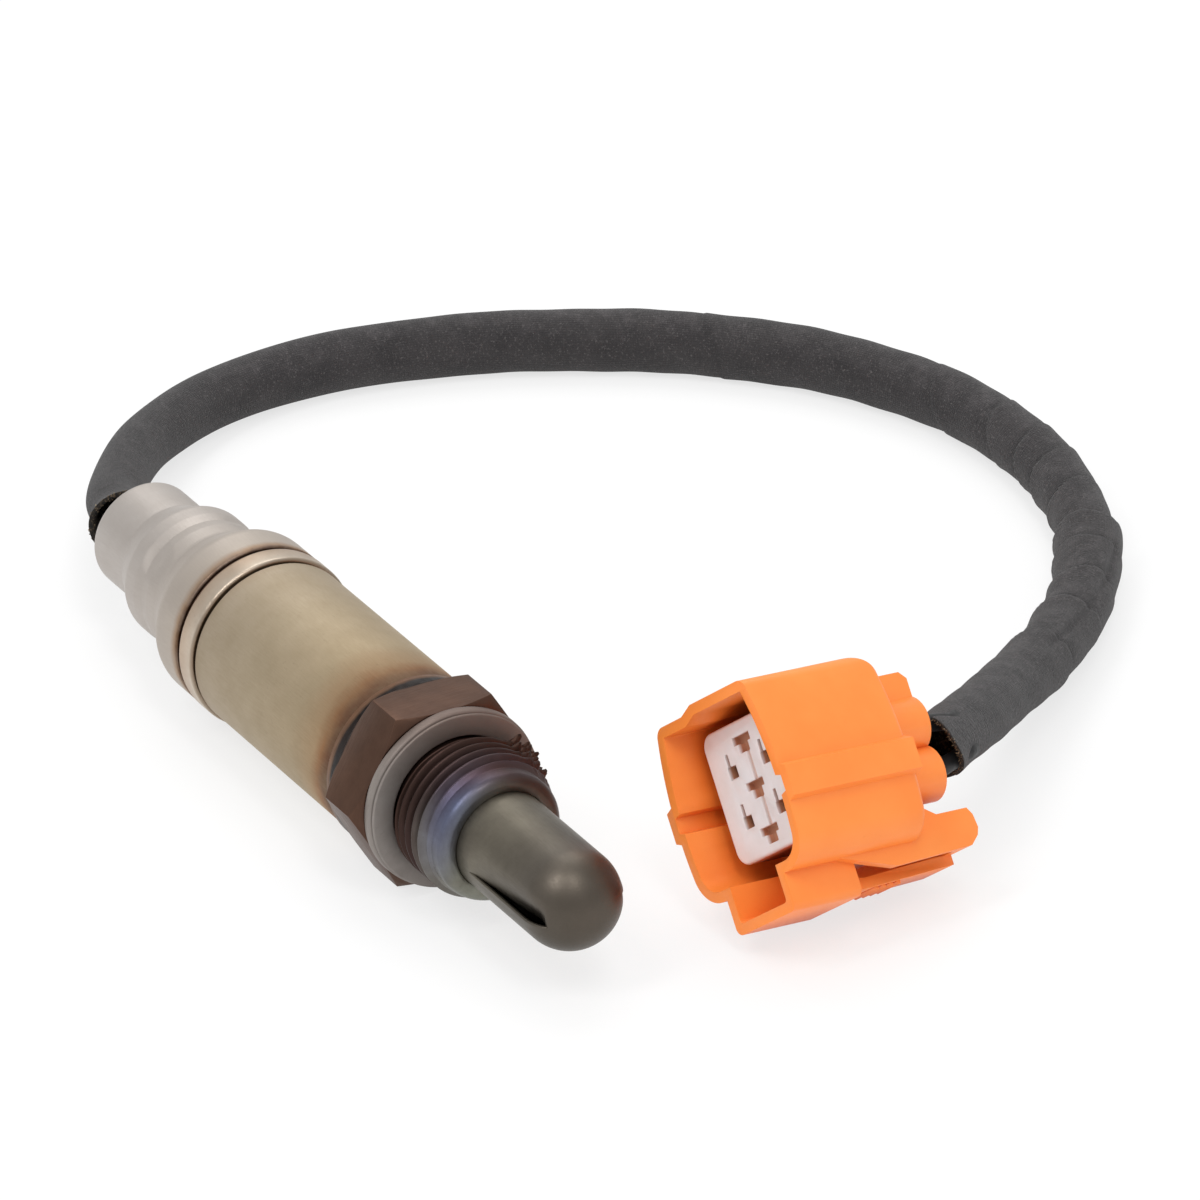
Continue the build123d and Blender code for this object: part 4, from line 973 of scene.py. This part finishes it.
MOUTH, MOUTH_OUT = (24.38, 21.64, 6.87), (0.1199, -0.9836, 0.1351)  # a point of it in mm, and where it looks
TAN_SHADE_FROM, TAN_SHADE_TO = 4.55, 4.95  # mm behind the mouth, where the white turns to a painted tan shade
DEEP_SHADE_FROM, DEEP_SHADE_TO = 5.4, 6.8  # and the tan to a painted dark brown shade
retainer = copy_of("terminal_retainer", "retainer", bevel=0.12, segments=2, sharp=35)
white = Mat("white_plastic", Roughness=0.45)
where = white.position()
clouds = white.spread(white.noise(where, 0.3, 4.0), 0.35, 0.7)
tone = white.mix(clouds, linear(240, 238, 240), linear(232, 228, 228))
from_mouth = white.add("ShaderNodeVectorMath", {0: where, 1: MOUTH}, operation="SUBTRACT").outputs[0]
ahead = white.add("ShaderNodeVectorMath", {0: from_mouth, 1: MOUTH_OUT}, operation="DOT_PRODUCT")
depth_behind = white.times(ahead.outputs["Value"], -1.0)
# painted shade: tan, then dark brown, deeper behind the mouth in the windows and cavities
tone = white.mix(white.spread(depth_behind, TAN_SHADE_FROM, TAN_SHADE_TO), tone, linear(196, 138, 108))
tone = white.mix(white.spread(depth_behind, DEEP_SHADE_FROM, DEEP_SHADE_TO), tone, linear(96, 46, 24))
white.set("Base Color", tone)
white.uneven_gloss(where, 2.0, 3.0, 0.4, 0.52)
paint(retainer, white)
ready(retainer, "retainer_plastic", "terminal_retainer")

# ---------------------------------------------------------------- floor and light
FLOOR_REACH = 3  # from the middle to an edge, in metres
FLOOR_GLOW = 0.72  # share of plain white in the floor that the camera sees; the rest is lit and shadowed
SKY = 0.73  # strength of the surroundings' light
LAMP_DISTANCE = 0.9  # metres, from the frame's origin
WHITE = (1.0, 1.0, 1.0, 1.0)

corners = [(x * FLOOR_REACH, y * FLOOR_REACH, FLOOR) for x, y in ((-1, -1), (1, -1), (1, 1), (-1, 1))]
floor = mesh_object("floor", corners, [(0, 1, 2, 3)])
pale = Mat("floor_pale", Roughness=0.9)
tone = pale.mix(pale.noise(pale.position(), 0.01, 2.0), linear(246, 246, 246), linear(250, 250, 250))
pale.set("Base Color", tone)
pale.set("Specular IOR Level", 0.1)
# seen by the camera, in gloss or through glass the floor is mostly plain white, and keeps a light shadow
paths = pale.add("ShaderNodeLightPath")
seen = pale.math("ADD", paths.outputs["Is Camera Ray"], paths.outputs["Is Glossy Ray"], clamp=True)
seen = pale.math("ADD", seen, paths.outputs["Is Transmission Ray"], clamp=True)
glow = pale.add("ShaderNodeEmission", {"Color": WHITE, "Strength": 1.0})
both = pale.add("ShaderNodeMixShader")
pale.feed(both.inputs[0], pale.times(seen, FLOOR_GLOW))
pale.feed(both.inputs[1], pale.shader.outputs["BSDF"])
pale.feed(both.inputs[2], glow.outputs[0])
pale.feed(pale.tree.nodes["Material Output"].inputs["Surface"], both.outputs[0])
paint(floor, pale)

# the camera sees plain white behind everything, and the object is lit by a slightly dimmer one
world = bpy.data.worlds.new("studio")
scene.world = world
world.use_nodes = True
parts, link = world.node_tree.nodes, world.node_tree.links.new
sky, backdrop = parts["Background"], parts.new("ShaderNodeBackground")
for background, strength in ((sky, SKY), (backdrop, 1.0)):
    background.inputs["Color"].default_value = WHITE
    background.inputs["Strength"].default_value = strength
choose = parts.new("ShaderNodeMixShader")
rays = parts.new("ShaderNodeLightPath")
link(rays.outputs["Is Camera Ray"], choose.inputs[0])
link(sky.outputs[0], choose.inputs[1])
link(backdrop.outputs[0], choose.inputs[2])
link(choose.outputs[0], parts["World Output"].inputs["Surface"])


def softbox(name, direction, size, power):
    """A rectangular lamp that looks at the frame's origin; its size in metres, its power in watts."""
    light = bpy.data.lights.new(name, "AREA")
    light.shape = "RECTANGLE"
    light.size, light.size_y = size
    light.energy = power
    lamp = bpy.data.objects.new(name, light)
    scene.collection.objects.link(lamp)
    place = Vector(direction).normalized() * LAMP_DISTANCE
    lamp.location = place
    lamp.rotation_euler = (-place).to_track_quat("-Z", "Y").to_euler()


softbox("key_left", back * 0.70 + up * 0.55 - right * 0.42, (0.20, 0.42), 2.0)
softbox("key_right", back * 0.78 + up * 0.55 + right * 0.16, (0.20, 0.42), 1.5)
softbox("top", up * 1.0 - back * 0.10, (0.6, 0.6), 2.0)

scene.view_settings.view_transform = "Standard"
